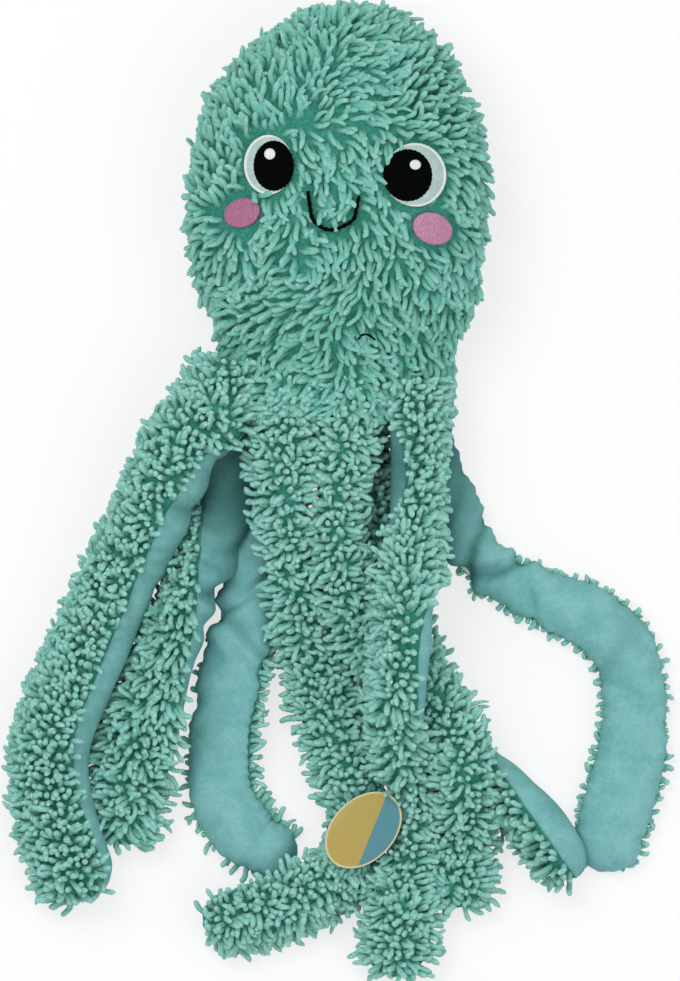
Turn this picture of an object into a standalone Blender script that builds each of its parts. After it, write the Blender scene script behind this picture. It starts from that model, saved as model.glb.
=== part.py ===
"""Plush octopus dog toy, lying on its back with its face up and its tentacles spread on the floor.

Metres, +Z up, +Y towards the top of the head. The origin is on the floor, under the middle of the toy.
The head is a stuffed, two-panel bag with a squeaker in it. Eight tentacles hang from a disc under the
head. Each is sewn from a chenille panel and a velour panel, with a sheet of crackling film between.
"""
import math

import bmesh
import bpy
import numpy as np
from mathutils import Matrix, Vector

# Cloth, film and the clearances between the sewn pieces
CLOTH = 0.0022
FILM = 0.0006
GAP = 0.0003
REST_CUT = 0.0005

# Head
HEAD_LENGTH = 0.200
HEAD_WIDTH = 0.158
HEAD_DEPTH = 0.104
# Rows down the head: along, half width, front height and back height, as shares of its sizes
HEAD_SHARES = (
    (0.000, 0.00, 0.52, 0.52),
    (0.012, 0.25, 0.66, 0.40),
    (0.045, 0.44, 0.75, 0.28),
    (0.100, 0.61, 0.83, 0.17),
    (0.180, 0.76, 0.91, 0.08),
    (0.280, 0.90, 0.97, 0.02),
    (0.390, 0.98, 1.00, 0.00),
    (0.500, 1.00, 1.00, 0.00),
    (0.610, 1.00, 0.99, 0.00),
    (0.720, 0.96, 0.93, 0.00),
    (0.820, 0.89, 0.83, 0.00),
    (0.910, 0.83, 0.71, 0.00),
    (1.000, 0.82, 0.60, 0.00),
)
FRONT_SIDES = 12
BACK_SIDES = 11

# Neck, which flares from the head to the ring that the tentacles are sewn into, a share of their length wide
NECK_LENGTH = 0.018
RING_SHARE = 0.4290
RING_DEPTH = 0.058
RING_DRIFT = -0.009
NECK_STEPS = 3
DISC_THICKNESS = 0.002

# Squeaker: a turned bulb with a reed in its mouth, in a pocket of the head's stuffing
BULB_DIAMETER = 0.042
BULB_LENGTH = 0.020
BULB_WALL = 0.0012
BULB_DEPTH = 0.095
REED_DIAMETER = 0.009
REED_LENGTH = 0.008
BULB_SIDES = 24

# Face: each patch's middle is a share of the head's half width and of its length
EYE_HEIGHT = 0.035
LEFT_EYE_WIDTH = 0.028
RIGHT_EYE_WIDTH = 0.034
PUPIL_HEIGHT = 0.0272
LEFT_PUPIL_WIDTH = 0.021
RIGHT_PUPIL_WIDTH = 0.0255
GLINT_SIZE = 0.0055
CHEEK_LENGTH = 0.0215
CHEEK_WIDTH = 0.0165
PATCH = 0.0010
PATCH_SEAT = 0.0007
PATCH_SIDES = 20
SMILE_THREAD = 0.0020
LOOSE_THREAD = 0.0008
THREAD_SIDES = 8
THREAD_STEPS = 3
LEFT_EYE_SHARES = (-0.500, 0.420)
RIGHT_EYE_SHARES = (0.556, 0.453)
LEFT_PUPIL_SHARES = (-0.465, 0.424)
RIGHT_PUPIL_SHARES = (0.515, 0.451)
LEFT_GLINT_SHARES = (-0.478, 0.394)
RIGHT_GLINT_SHARES = (0.553, 0.423)
LEFT_CHEEK_SHARES = (-0.673, 0.555)
RIGHT_CHEEK_SHARES = (0.666, 0.602)
SMILE_SHARES = ((-0.206, 0.501), (-0.195, 0.545), (-0.163, 0.585), (-0.107, 0.604), (-0.043, 0.606),
                (0.035, 0.594), (0.092, 0.565), (0.120, 0.528), (0.135, 0.503))
LOOSE_SHARES = ((0.135, 0.891), (0.163, 0.878), (0.206, 0.878), (0.248, 0.892))

# Ring of tentacles: four places in front and four behind them, a pitch apart, which is a share of the length
PLACE_PITCH_SHARE = 0.10145
FRONT_HEIGHT = 0.044
ARC_SIDES = 7
ROUTE_STEPS = 24
FILM_SHARE = 0.78
# How a tentacle narrows: thickness left at no width, and the rows and the least width of its round tip
THICK_SHARE = 0.40
TIP_SHARE = 0.30
TIP_ROWS = (1.0, 0.5, 0.18, 0.0)
TIP_CLEAR = 1.3
HEADING_SHARE = 0.01

# Length of the longest tentacle, which the others are shares of
TENTACLE_LENGTH = 0.345

# Share of that length, full width and thickness of each tentacle, named by where it lies
LEFT_OUTER_SHARE = 0.8812
LEFT_OUTER_WIDTH = 0.044
LEFT_OUTER_THICKNESS = 0.036
LEFT_INNER_SHARE = 0.7217
LEFT_INNER_WIDTH = 0.038
LEFT_INNER_THICKNESS = 0.021
LEFT_HOOK_SHARE = 0.7913
LEFT_HOOK_WIDTH = 0.036
LEFT_HOOK_THICKNESS = 0.019
FOOT_SHARE = 1.0
FOOT_WIDTH = 0.034
FOOT_THICKNESS = 0.023
FRONT_MIDDLE_SHARE = 0.8580
FRONT_MIDDLE_WIDTH = 0.033
FRONT_MIDDLE_THICKNESS = 0.022
FRONT_RIGHT_SHARE = 0.9362
FRONT_RIGHT_WIDTH = 0.032
FRONT_RIGHT_THICKNESS = 0.022
RIGHT_LOOP_SHARE = 0.9101
RIGHT_LOOP_WIDTH = 0.036
RIGHT_LOOP_THICKNESS = 0.020
RIGHT_UNDER_SHARE = 0.8435
RIGHT_UNDER_WIDTH = 0.031
RIGHT_UNDER_THICKNESS = 0.024

# Sticker on the bend of one tentacle
STICKER_LENGTH = 0.048
STICKER_WIDTH = 0.033
STICKER_THICKNESS = 0.0004
STICKER_TURN = 45.0
STICKER_PLACE_SHARE = 0.71
STICKER_SIDES = 32
STICKER_SPANS = 10


class Tentacle:
    """One tentacle: its sizes, its place in the ring and the route it lies along.

    Each row of the route is across and along as shares of the length, lift as a share of the height of
    the front places, width as a share of the full width, and roll in degrees: 0 has the chenille panel
    on top and 180 the velour panel. A tentacle with a break share is held down as far as that share. One
    that swings turns about an upright axis at its left edge (-1) or its right edge (1), and the others
    lift about their topmost height.
    """

    def __init__(self, name, place, length, width, thickness, route_shares, break_share=0.0,
                 spans=14, swings=0):
        self.name = name
        self.place = place
        self.length = length
        self.width = width
        self.thickness = thickness
        self.route_shares = route_shares
        self.break_share = break_share
        self.spans = spans
        self.swings = swings


TENTACLES = (
    Tentacle("left_outer", 0, TENTACLE_LENGTH * LEFT_OUTER_SHARE, LEFT_OUTER_WIDTH, LEFT_OUTER_THICKNESS, (
        (0.000, 0.000, 1.00, 0.75, 0), (-0.022, -0.023, 1.00, 0.80, 18),
        (-0.059, -0.071, 1.00, 0.92, 50), (-0.118, -0.183, 0.85, 1.00, 66),
        (-0.190, -0.321, 0.50, 0.98, 62), (-0.251, -0.463, 0.15, 1.00, 52),
        (-0.299, -0.601, 0.00, 1.00, 46), (-0.308, -0.721, 0.00, 1.00, 44),
        (-0.286, -0.835, 0.00, 1.00, 38), (-0.258, -0.909, 0.00, 0.90, 30)),
        swings=-1),
    Tentacle("left_inner", 0, TENTACLE_LENGTH * LEFT_INNER_SHARE, LEFT_INNER_WIDTH, LEFT_INNER_THICKNESS, (
        (0.000, 0.000, 0.00, 0.70, 180), (0.006, -0.071, 0.00, 0.70, 172),
        (-0.007, -0.206, 0.00, 0.72, 125), (-0.043, -0.311, 0.00, 0.80, 102),
        (-0.084, -0.431, 0.00, 0.86, 88), (-0.133, -0.566, 0.00, 0.92, 62),
        (-0.178, -0.723, 0.00, 0.90, 35), (-0.207, -0.858, 0.00, 0.72, 12),
        (-0.225, -0.957, 0.00, 0.56, 0)),
        0.44, 15),
    Tentacle("left_hook", 1, TENTACLE_LENGTH * LEFT_HOOK_SHARE, LEFT_HOOK_WIDTH, LEFT_HOOK_THICKNESS, (
        (0.000, 0.000, 0.00, 0.86, 180), (-0.014, -0.065, 0.00, 0.80, 180),
        (-0.045, -0.188, 0.00, 0.68, 182), (-0.075, -0.296, 0.00, 0.66, 186),
        (-0.092, -0.401, 0.00, 0.84, 194), (-0.108, -0.485, 0.00, 0.98, 204),
        (-0.125, -0.577, 0.00, 1.08, 210), (-0.137, -0.680, 0.00, 1.08, 210),
        (-0.137, -0.778, 0.00, 1.04, 198), (-0.112, -0.854, 0.00, 0.98, 188),
        (-0.071, -0.897, 0.00, 0.90, 180), (-0.016, -0.918, 0.00, 0.75, 180)),
        0.52, 16),
    Tentacle("foot", 1, TENTACLE_LENGTH * FOOT_SHARE, FOOT_WIDTH, FOOT_THICKNESS, (
        (0.000, 0.000, 1.00, 0.94, 0), (-0.009, -0.051, 1.00, 0.90, 10),
        (-0.011, -0.149, 1.00, 0.80, 10), (0.000, -0.246, 0.76, 0.74, 5),
        (0.023, -0.343, 0.42, 0.78, 0), (0.051, -0.441, 0.10, 0.84, 0), (0.074, -0.522, 0.00, 0.88, -3),
        (0.095, -0.603, 0.00, 0.88, -6), (0.104, -0.663, 0.00, 0.92, -10),
        (0.093, -0.722, 0.00, 1.00, -20), (0.059, -0.767, 0.00, 1.05, -30),
        (0.007, -0.799, 0.00, 1.05, -35), (-0.055, -0.819, 0.00, 1.05, -35),
        (-0.124, -0.835, 0.00, 0.95, -32)),
        spans=18),
    Tentacle("front_middle", 2, TENTACLE_LENGTH * FRONT_MIDDLE_SHARE,
             FRONT_MIDDLE_WIDTH, FRONT_MIDDLE_THICKNESS, (
        (0.000, 0.000, 1.00, 0.95, 0), (-0.016, -0.060, 1.00, 0.86, 0), (-0.029, -0.173, 1.00, 0.70, 0),
        (-0.029, -0.258, 1.00, 0.68, 0), (-0.012, -0.343, 0.90, 0.70, 0),
        (0.024, -0.419, 0.74, 0.80, 0), (0.085, -0.480, 0.72, 0.82, 0), (0.147, -0.551, 0.76, 0.82, 0),
        (0.196, -0.637, 0.80, 0.80, 0), (0.210, -0.693, 0.80, 0.80, 0), (0.212, -0.741, 0.64, 0.82, 0),
        (0.208, -0.816, 0.28, 0.88, 0), (0.204, -0.915, 0.00, 0.92, 0)),
        0.75, 16),
    Tentacle("front_right", 3, TENTACLE_LENGTH * FRONT_RIGHT_SHARE,
             FRONT_RIGHT_WIDTH, FRONT_RIGHT_THICKNESS, (
        (0.000, 0.000, 1.00, 0.92, -10), (0.011, -0.055, 1.00, 0.92, -35),
        (0.009, -0.141, 1.00, 0.86, -38), (-0.005, -0.228, 1.12, 0.86, -20),
        (-0.013, -0.315, 1.44, 0.90, 10), (-0.017, -0.401, 1.66, 0.96, 28),
        (-0.024, -0.488, 1.54, 0.98, 24), (-0.029, -0.557, 1.14, 0.88, 8),
        (-0.015, -0.623, 0.66, 0.80, 0), (-0.001, -0.687, 0.34, 0.76, 0),
        (-0.006, -0.774, 0.28, 0.82, 0), (-0.025, -0.861, 0.05, 1.02, 0),
        (-0.045, -0.980, 0.00, 1.00, 0)),
        spans=16),
    Tentacle("right_loop", 3, TENTACLE_LENGTH * RIGHT_LOOP_SHARE, RIGHT_LOOP_WIDTH, RIGHT_LOOP_THICKNESS, (
        (0.000, 0.000, 0.00, 0.87, 180), (0.009, -0.056, 0.00, 0.87, 180),
        (0.054, -0.163, 0.00, 0.80, 180), (0.099, -0.256, 0.00, 0.72, 180),
        (0.147, -0.301, 0.00, 0.74, 180), (0.209, -0.333, 0.00, 0.80, 180),
        (0.281, -0.365, 0.00, 0.95, 180), (0.348, -0.413, 0.00, 0.99, 180),
        (0.386, -0.502, 0.00, 0.97, 180), (0.386, -0.591, 0.00, 1.05, 180),
        (0.373, -0.680, 0.00, 1.15, 180), (0.329, -0.816, 0.00, 1.05, 180)),
        spans=18, swings=1),
    Tentacle("right_under", 2, TENTACLE_LENGTH * RIGHT_UNDER_SHARE,
             RIGHT_UNDER_WIDTH, RIGHT_UNDER_THICKNESS, (
        (0.000, 0.000, 0.00, 0.64, 0), (0.013, -0.080, 0.00, 0.62, 0), (0.036, -0.215, 0.00, 0.62, 0),
        (0.071, -0.349, 0.00, 0.62, 0), (0.123, -0.474, 0.00, 0.62, 5), (0.173, -0.576, 0.00, 0.64, 10),
        (0.217, -0.646, 0.00, 0.70, 22), (0.259, -0.694, 0.00, 0.90, 48),
        (0.311, -0.748, 0.00, 1.00, 76), (0.361, -0.805, 0.00, 1.08, 86),
        (0.411, -0.877, 0.00, 1.00, 80)),
        0.84, 16),
)


# Colours, roughness and metallic value of each cloth and film
FINISHES = {
    "chenille": ((0.16, 0.44, 0.33), 0.95, 0.0),
    "velour": ((0.19, 0.50, 0.46), 0.80, 0.0),
    "film": ((0.75, 0.78, 0.80), 0.25, 0.0),
    "stuffing": ((0.85, 0.85, 0.83), 1.0, 0.0),
    "squeaker": ((0.80, 0.80, 0.78), 0.40, 0.0),
    "eye_white": ((0.55, 0.72, 0.66), 0.75, 0.0),
    "black_thread": ((0.012, 0.012, 0.014), 0.60, 0.0),
    "white_thread": ((0.85, 0.87, 0.86), 0.60, 0.0),
    "pink_thread": ((0.60, 0.19, 0.34), 0.65, 0.0),
    "sticker": ((0.48, 0.35, 0.05), 0.45, 0.0),
}


def finish(name):
    """Gives the material of one finish, made the first time it is asked for."""
    found = bpy.data.materials.get(name)
    if found:
        return found
    colour, roughness, metallic = FINISHES[name]
    material = bpy.data.materials.new(name)
    material.use_nodes = True
    shader = material.node_tree.nodes["Principled BSDF"]
    shader.inputs["Base Color"].default_value = (*colour, 1.0)
    shader.inputs["Roughness"].default_value = roughness
    shader.inputs["Metallic"].default_value = metallic
    material.diffuse_color = (*colour, 1.0)
    return material


def add_piece(name, bm, finish_name, pivot=Vector()):
    """Makes one named object of a mesh, with its origin at the pivot."""
    bmesh.ops.translate(bm, verts=bm.verts, vec=-pivot)
    mesh = bpy.data.meshes.new(name)
    bm.to_mesh(mesh)
    bm.free()
    mesh.shade_smooth()
    mesh.set_sharp_from_angle(angle=math.radians(50))
    piece = bpy.data.objects.new(name, mesh)
    piece.location = pivot
    bpy.context.collection.objects.link(piece)
    mesh.materials.append(finish(finish_name))
    return piece


def loft(rings, round_section=True, start=True, end=True):
    """Skins rings of points one after another; start and end say which ends are closed."""
    bm = bmesh.new()
    rows = [[bm.verts.new(point) for point in ring] for ring in rings]
    count = len(rows[0])
    for near, far in zip(rows, rows[1:]):
        for i in range(count if round_section else count - 1):
            j = (i + 1) % count
            bm.faces.new((near[i], near[j], far[j], far[i]))
    if start:
        bm.faces.new(rows[0][::-1])
    if end:
        bm.faces.new(rows[-1])
    return bm


def solid(rings):
    """Skins rings into one closed solid whose faces point out."""
    bm = loft(rings)
    bmesh.ops.recalc_face_normals(bm, faces=bm.faces)
    return bm


def twisted_solid(rings, crossed=()):
    """Skins rings with triangles, so that layers that twist together keep their distance.

    A side whose number is in crossed is split along its other diagonal.
    """
    bm = bmesh.new()
    rows = [[bm.verts.new(point) for point in ring] for ring in rings]
    count = len(rows[0])
    for near, far in zip(rows, rows[1:]):
        for i in range(count):
            j = (i + 1) % count
            if i in crossed:
                bm.faces.new((near[i], near[j], far[i]))
                bm.faces.new((near[j], far[j], far[i]))
            else:
                bm.faces.new((near[i], near[j], far[j]))
                bm.faces.new((near[i], far[j], far[i]))
    bm.faces.new(rows[0][::-1])
    bm.faces.new(rows[-1])
    bmesh.ops.recalc_face_normals(bm, faces=bm.faces)
    return bm


# Head and neck

def head_row(share_row):
    """Gives the middle, half width and half depth of the head at one row of shares."""
    along, wide, front, back = share_row
    top = front * HEAD_DEPTH
    bottom = back * HEAD_DEPTH - REST_CUT
    middle = Vector((0, -along * HEAD_LENGTH, (top + bottom) / 2))
    return middle, wide * HEAD_WIDTH / 2, (top - bottom) / 2 if wide else 0


def neck_rows():
    """Gives the middle, half width and half depth of the rows down the neck."""
    middle, wide, deep = head_row(HEAD_SHARES[-1])
    ring_middle = Vector((RING_DRIFT, -HEAD_LENGTH - NECK_LENGTH, RING_DEPTH / 2 - REST_CUT))
    ring_wide = TENTACLE_LENGTH * RING_SHARE / 2
    rows = []
    for step in range(NECK_STEPS + 1):
        share = step / NECK_STEPS
        rows.append((middle.lerp(ring_middle, share), wide + (ring_wide - wide) * share,
                     deep + (RING_DEPTH / 2 - deep) * share))
    return rows


def arc(row, start, stop, sides, raise_by=0.0):
    """Gives points of one row's oval from one angle to another, none of them under the floor."""
    middle, wide, deep = row
    points = []
    for i in range(sides + 1):
        angle = math.radians(start + (stop - start) * i / sides)
        height = middle.z + deep * math.sin(angle) + raise_by
        points.append(Vector((middle.x + wide * math.cos(angle), middle.y, max(height, 0))))
    return points


def oval(row):
    """Gives a whole oval of one row, with a flat stretch under it where it lies on the floor."""
    return arc(row, 0, 180, FRONT_SIDES)[:-1] + arc(row, 180, 360, BACK_SIDES)[:-1]


def inner_rings(rings, depth):
    """Gives the rings moved inwards, square to the skin that they make."""
    grid = np.array(rings)
    around = np.roll(grid, -1, axis=1) - np.roll(grid, 1, axis=1)
    down = np.gradient(grid, axis=0)
    normals = np.cross(around, down)
    normals[0] = (0, 1, 0)
    normals /= np.linalg.norm(normals, axis=2)[:, :, None]
    return [[Vector(point) for point in ring] for ring in grid - normals * depth]


def merged(bm):
    """Merges the points that meet at a pole and turns the faces out."""
    bmesh.ops.remove_doubles(bm, verts=bm.verts, dist=GAP / 10)
    bmesh.ops.recalc_face_normals(bm, faces=bm.faces)
    return bm


def add_panel(name, outside, inside, first, last, raise_by):
    """Makes one sewn panel of the head from part of the outer and the inner rings."""
    lift = Vector((0, 0, raise_by))
    rings = []
    for outer, inner in zip(outside, inside):
        count = len(outer)
        picks = [i % count for i in range(first, last + 1)]
        rings.append([outer[i] + lift for i in picks] + [inner[i] + lift for i in reversed(picks)])
    add_piece(name, merged(loft(rings, start=False)), "chenille")


def add_head():
    """Makes the two sewn panels of the head and the stuffing in them."""
    outside = [oval(head_row(share_row)) for share_row in HEAD_SHARES]
    inside = inner_rings(outside, CLOTH)
    add_panel("head_front_panel", outside, inside, 0, FRONT_SIDES, GAP)
    add_panel("head_back_panel", outside, inside, FRONT_SIDES, FRONT_SIDES + BACK_SIDES, 0)

    stuffing = add_piece("head_stuffing", merged(loft(inner_rings(outside, CLOTH + 2 * GAP), start=False)),
                         "stuffing")
    radius = BULB_DIAMETER / 2 + GAP
    past_end = -HEAD_LENGTH - NECK_LENGTH
    pocket = add_turned("pocket_cutter", [(0, -BULB_DEPTH), (radius, -BULB_DEPTH), (radius, past_end),
                                          (0, past_end)], "stuffing")
    pocket.hide_render = True
    pocket.display_type = "WIRE"
    cut = stuffing.modifiers.new("pocket", "BOOLEAN")
    cut.object = pocket
    cut.operation = "DIFFERENCE"


def add_turned(name, profile, finish_name):
    """Turns a profile of radius and place along the head about the squeaker's axis."""
    axis_height = head_row(HEAD_SHARES[-1])[0].z
    rings = []
    for radius, along in profile:
        rings.append([Vector((radius * math.cos(turn), along, axis_height + radius * math.sin(turn)))
                      for turn in (math.tau * i / BULB_SIDES for i in range(BULB_SIDES))])
    return add_piece(name, merged(loft(rings, start=False, end=False)), finish_name)


def add_squeaker():
    """Makes the hollow bulb, open at its mouth, and the reed that stands in the mouth."""
    near = -BULB_DEPTH - GAP
    far = near - BULB_LENGTH
    radius = BULB_DIAMETER / 2
    mouth = REED_DIAMETER / 2 + GAP
    shoulder = BULB_LENGTH / 4
    add_turned("squeaker_bulb", [
        (0, near), (radius - shoulder / 2, near), (radius, near - shoulder), (radius, far + shoulder),
        (radius - shoulder, far), (mouth, far), (mouth, far + BULB_WALL),
        (radius - shoulder, far + BULB_WALL), (radius - BULB_WALL, far + shoulder),
        (radius - BULB_WALL, near - shoulder), (radius - shoulder / 2, near - BULB_WALL),
        (0, near - BULB_WALL)], "squeaker")
    reed = REED_DIAMETER / 2
    add_turned("squeaker_reed", [(0, far + REED_LENGTH / 2), (reed, far + REED_LENGTH / 2),
                                 (reed, far - REED_LENGTH / 2), (0, far - REED_LENGTH / 2)], "squeaker")


def add_neck():
    """Makes the neck's cover, its stuffing with the plug behind the squeaker, and the disc."""
    rows = neck_rows()
    top, bottom = rows[0], rows[-1]
    top[0].y -= GAP
    outside = [oval(row) for row in rows]
    inside = [oval((middle, wide - CLOTH, deep - CLOTH)) for middle, wide, deep in rows]
    cover = loft(outside + inside[::-1] + outside[:1], start=False, end=False)
    add_piece("neck_cover", merged(cover), "chenille")

    inset = CLOTH + 2 * GAP
    rings = []
    axis_height = head_row(HEAD_SHARES[-1])[0].z
    reed_end = -BULB_DEPTH - GAP - BULB_LENGTH - REED_LENGTH / 2 - GAP
    plug = BULB_DIAMETER / 2 - GAP
    for along in (reed_end, -HEAD_LENGTH - GAP):
        rings.append(oval((Vector((0, along, axis_height)), plug, plug)))
    for middle, wide, deep in rows:
        rings.append([point + Vector((0, -GAP, 0))
                      for point in oval((middle + Vector((0, 0, GAP)), wide - inset, deep - inset))])
    add_piece("neck_stuffing", solid(rings), "stuffing")

    middle, wide, deep = bottom
    near = [point + Vector((0, -2 * GAP, 0)) for point in oval((middle, wide, deep))]
    far = [point - Vector((0, DISC_THICKNESS, 0)) for point in near]
    add_piece("base_disc", solid([near, far]), "chenille")


# Face

def head_height(across, along):
    """Gives the height of the head's front over a place in plan."""
    shares = np.array(HEAD_SHARES)
    row = [np.interp(along / HEAD_LENGTH, shares[:, 0], shares[:, column]) for column in (1, 2, 3)]
    middle, wide, deep = head_row((along / HEAD_LENGTH, *row))
    return middle.z + deep * math.sqrt(max(1 - (across / wide) ** 2, 0))


def on_head(across, along, off):
    """Gives the point that stands off the head's front, square to it, at a place in plan."""
    step = PATCH
    slope_x = (head_height(across + step, along) - head_height(across - step, along)) / (2 * step)
    slope_y = (head_height(across, along - step) - head_height(across, along + step)) / (2 * step)
    normal = Vector((-slope_x, -slope_y, 1)).normalized()
    return Vector((across, -along, head_height(across, along))) + normal * off


def add_patch(name, shares, length, width, turn, layer, finish_name):
    """Makes an oval patch that follows the head; layer 0 lies on the head, 1 on layer 0, and so on."""
    across = shares[0] * HEAD_WIDTH / 2
    along = shares[1] * HEAD_LENGTH
    bottom = PATCH_SEAT + layer * (PATCH + GAP)
    rings = []
    for reach, off in ((0.0, bottom), (0.5, bottom), (1.0, bottom), (1.0, bottom + PATCH),
                       (0.5, bottom + PATCH), (0.0, bottom + PATCH)):
        ring = []
        for i in range(PATCH_SIDES):
            angle = math.tau * i / PATCH_SIDES
            u = reach * length / 2 * math.cos(angle)
            v = reach * width / 2 * math.sin(angle)
            c, s = math.cos(math.radians(turn)), math.sin(math.radians(turn))
            ring.append(on_head(across + u * c - v * s, along - (u * s + v * c), off))
        rings.append(ring)
    return add_piece(name, merged(loft(rings, start=False, end=False)), finish_name)


def add_stitched_line(name, line_shares, thread, finish_name):
    """Makes a thread that lies on the head along a line of shares."""
    spline = smooth([(across * HEAD_WIDTH / 2, along * HEAD_LENGTH) for across, along in line_shares],
                    THREAD_STEPS)
    points = [on_head(across, along, PATCH_SEAT + thread / 2) for across, along in spline]
    rings = []
    for i, point in enumerate(points):
        heading = (points[min(i + 1, len(points) - 1)] - points[max(i - 1, 0)]).normalized()
        side = heading.cross(Vector((0, 0, 1))).normalized()
        lift = side.cross(heading)
        rings.append([point + (side * math.cos(turn) + lift * math.sin(turn)) * thread / 2
                      for turn in (math.tau * j / THREAD_SIDES for j in range(THREAD_SIDES))])
    return add_piece(name, solid(rings), finish_name)


def add_face():
    """Makes the eyes, cheeks and smile."""
    add_patch("left_eye_patch", LEFT_EYE_SHARES, EYE_HEIGHT, LEFT_EYE_WIDTH, 90, 0, "eye_white")
    add_patch("right_eye_patch", RIGHT_EYE_SHARES, EYE_HEIGHT, RIGHT_EYE_WIDTH, 90, 0, "eye_white")
    add_patch("left_pupil", LEFT_PUPIL_SHARES, PUPIL_HEIGHT, LEFT_PUPIL_WIDTH, 90, 1, "black_thread")
    add_patch("right_pupil", RIGHT_PUPIL_SHARES, PUPIL_HEIGHT, RIGHT_PUPIL_WIDTH, 90, 1, "black_thread")
    add_patch("left_glint", LEFT_GLINT_SHARES, GLINT_SIZE, GLINT_SIZE, 0, 2, "white_thread")
    add_patch("right_glint", RIGHT_GLINT_SHARES, GLINT_SIZE, GLINT_SIZE, 0, 2, "white_thread")
    add_patch("left_cheek", LEFT_CHEEK_SHARES, CHEEK_LENGTH, CHEEK_WIDTH, 20, 0, "pink_thread")
    add_patch("right_cheek", RIGHT_CHEEK_SHARES, CHEEK_LENGTH, CHEEK_WIDTH, -20, 0, "pink_thread")
    add_stitched_line("smile", SMILE_SHARES, SMILE_THREAD, "black_thread")
    add_stitched_line("loose_thread", LOOSE_SHARES, LOOSE_THREAD, "black_thread")


# Tentacles

def smooth(points, steps):
    """Gives points along the smooth curve through the given rows, with steps of them to each stretch."""
    rows = np.array(points, dtype=float)
    rows = np.vstack([2 * rows[0] - rows[1], rows, 2 * rows[-1] - rows[-2]])
    out = []
    for i in range(1, len(rows) - 2):
        a, b, c, d = rows[i - 1:i + 3]
        for step in range(steps):
            t = step / steps
            out.append(0.5 * (2 * b + (c - a) * t + (2 * a - 5 * b + 4 * c - d) * t * t
                              + (3 * b - a - 3 * c + d) * t ** 3))
    out.append(rows[-2])
    return out


def root_place(tentacle):
    """Gives the place on the disc that a tentacle starts from, on the floor."""
    return Vector((RING_DRIFT + (tentacle.place - 1.5) * TENTACLE_LENGTH * PLACE_PITCH_SHARE,
                   -HEAD_LENGTH - NECK_LENGTH - DISC_THICKNESS - 3 * GAP, 0))


class Station:
    """One cross-section of a tentacle: middle, heading, half width and half thickness, with its frame."""

    def __init__(self, tentacle, place, heading, lift, wide, roll):
        taper = max(wide, 0)
        self.wide = tentacle.width / 2 * taper
        self.thick = tentacle.thickness / 2 * (THICK_SHARE + (1 - THICK_SHARE) * min(taper, 1))
        self.heading = heading
        side = heading.cross(Vector((0, 0, 1))).normalized()
        up = side.cross(heading)
        angle = math.radians(roll)
        self.side = side * math.cos(angle) - up * math.sin(angle)
        self.up = up * math.cos(angle) + side * math.sin(angle)
        reach = math.hypot(self.wide * self.side.z, self.thick * self.up.z)
        height = max(lift * FRONT_HEIGHT, reach - REST_CUT)
        self.middle = Vector((place.x, place.y, height))
        self.top = height + reach

    def point(self, across, over):
        """Gives a point by its distances along the section's width and thickness, never under the floor."""
        place = self.middle + self.side * across + self.up * over
        place.z = max(place.z, 0)
        return place


def stations(tentacle, start_share, stop_share, spans):
    """Gives evenly spaced cross-sections of a tentacle between two shares of its route."""
    track = np.array(smooth(tentacle.route_shares, ROUTE_STEPS))
    steps = np.hypot(*np.diff(track[:, :2], axis=0).T)
    run = np.concatenate([[0], np.cumsum(steps)])
    run /= run[-1]
    root = root_place(tentacle)

    def values(share):
        return [float(np.interp(share, run, track[:, column])) for column in range(5)]

    def place(share):
        across, along, lift = values(share)[:3]
        return root + Vector((across * tentacle.length, along * tentacle.length, lift * FRONT_HEIGHT))

    round_share = tentacle.width / 2 * values(1)[3] / tentacle.length
    shares = [start_share + (stop_share - start_share) * i / spans for i in range(spans + 1)]
    if stop_share == 1:
        shares = [share for share in shares if share < 1 - TIP_CLEAR * round_share]
        shares += [1 - round_share * row for row in TIP_ROWS]
    out = []
    for share in shares:
        lift, wide, roll = values(share)[2:]
        near, far = place(max(share - HEADING_SHARE, 0)), place(min(share + HEADING_SHARE, 1))
        heading = (far - near).normalized() if share > 0 else Vector((0, -1, 0))
        if share > 1 - round_share:
            reach = (share - 1 + round_share) / round_share
            wide *= max(math.sqrt(1 - reach * reach), TIP_SHARE)
        out.append(Station(tentacle, place(share), heading, lift, wide, roll))
    return out


def half_section(station, upper, clearance):
    """Gives the outline of one panel's half of a cross-section, open by the clearance at the seam."""
    sign = 1 if upper else -1
    points = []
    for i in range(ARC_SIDES + 1):
        angle = math.pi * i / ARC_SIDES
        over = max((station.thick - clearance) * math.sin(angle), 0) + clearance
        points.append(station.point(station.wide * math.cos(angle), sign * over))
    for across in (-station.wide * FILM_SHARE, station.wide * FILM_SHARE):
        points.append(station.point(across, sign * clearance))
    return points


def film_section(station):
    """Gives the outline of the film in a cross-section."""
    wide = station.wide * FILM_SHARE
    return [station.point(across, over) for across, over in
            ((-wide, -FILM / 2), (wide, -FILM / 2), (wide, FILM / 2), (-wide, FILM / 2))]


def add_length(name, tentacle, start_share, stop_share, spans, pivot):
    """Makes the chenille panel, the velour panel and the film of one length of a tentacle."""
    sections = stations(tentacle, start_share, stop_share, spans)
    clearance = FILM / 2 + GAP
    for upper, cloth in ((True, "chenille"), (False, "velour")):
        panel = twisted_solid([half_section(section, upper, clearance) for section in sections])
        add_piece(f"{name}_{cloth}", panel, cloth, pivot)
    film = twisted_solid([film_section(section) for section in sections], crossed=(2,))
    add_piece(name + "_film", film, "film", pivot)


def hinge_place(tentacle):
    """Gives the point that a tentacle bends about, at the side or over the top of its first section."""
    first = stations(tentacle, tentacle.break_share, 1, tentacle.spans)[0]
    if tentacle.swings:
        return first.middle + Vector((tentacle.swings * first.wide, 0, 0))
    return Vector((first.middle.x, first.middle.y, first.top))


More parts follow.
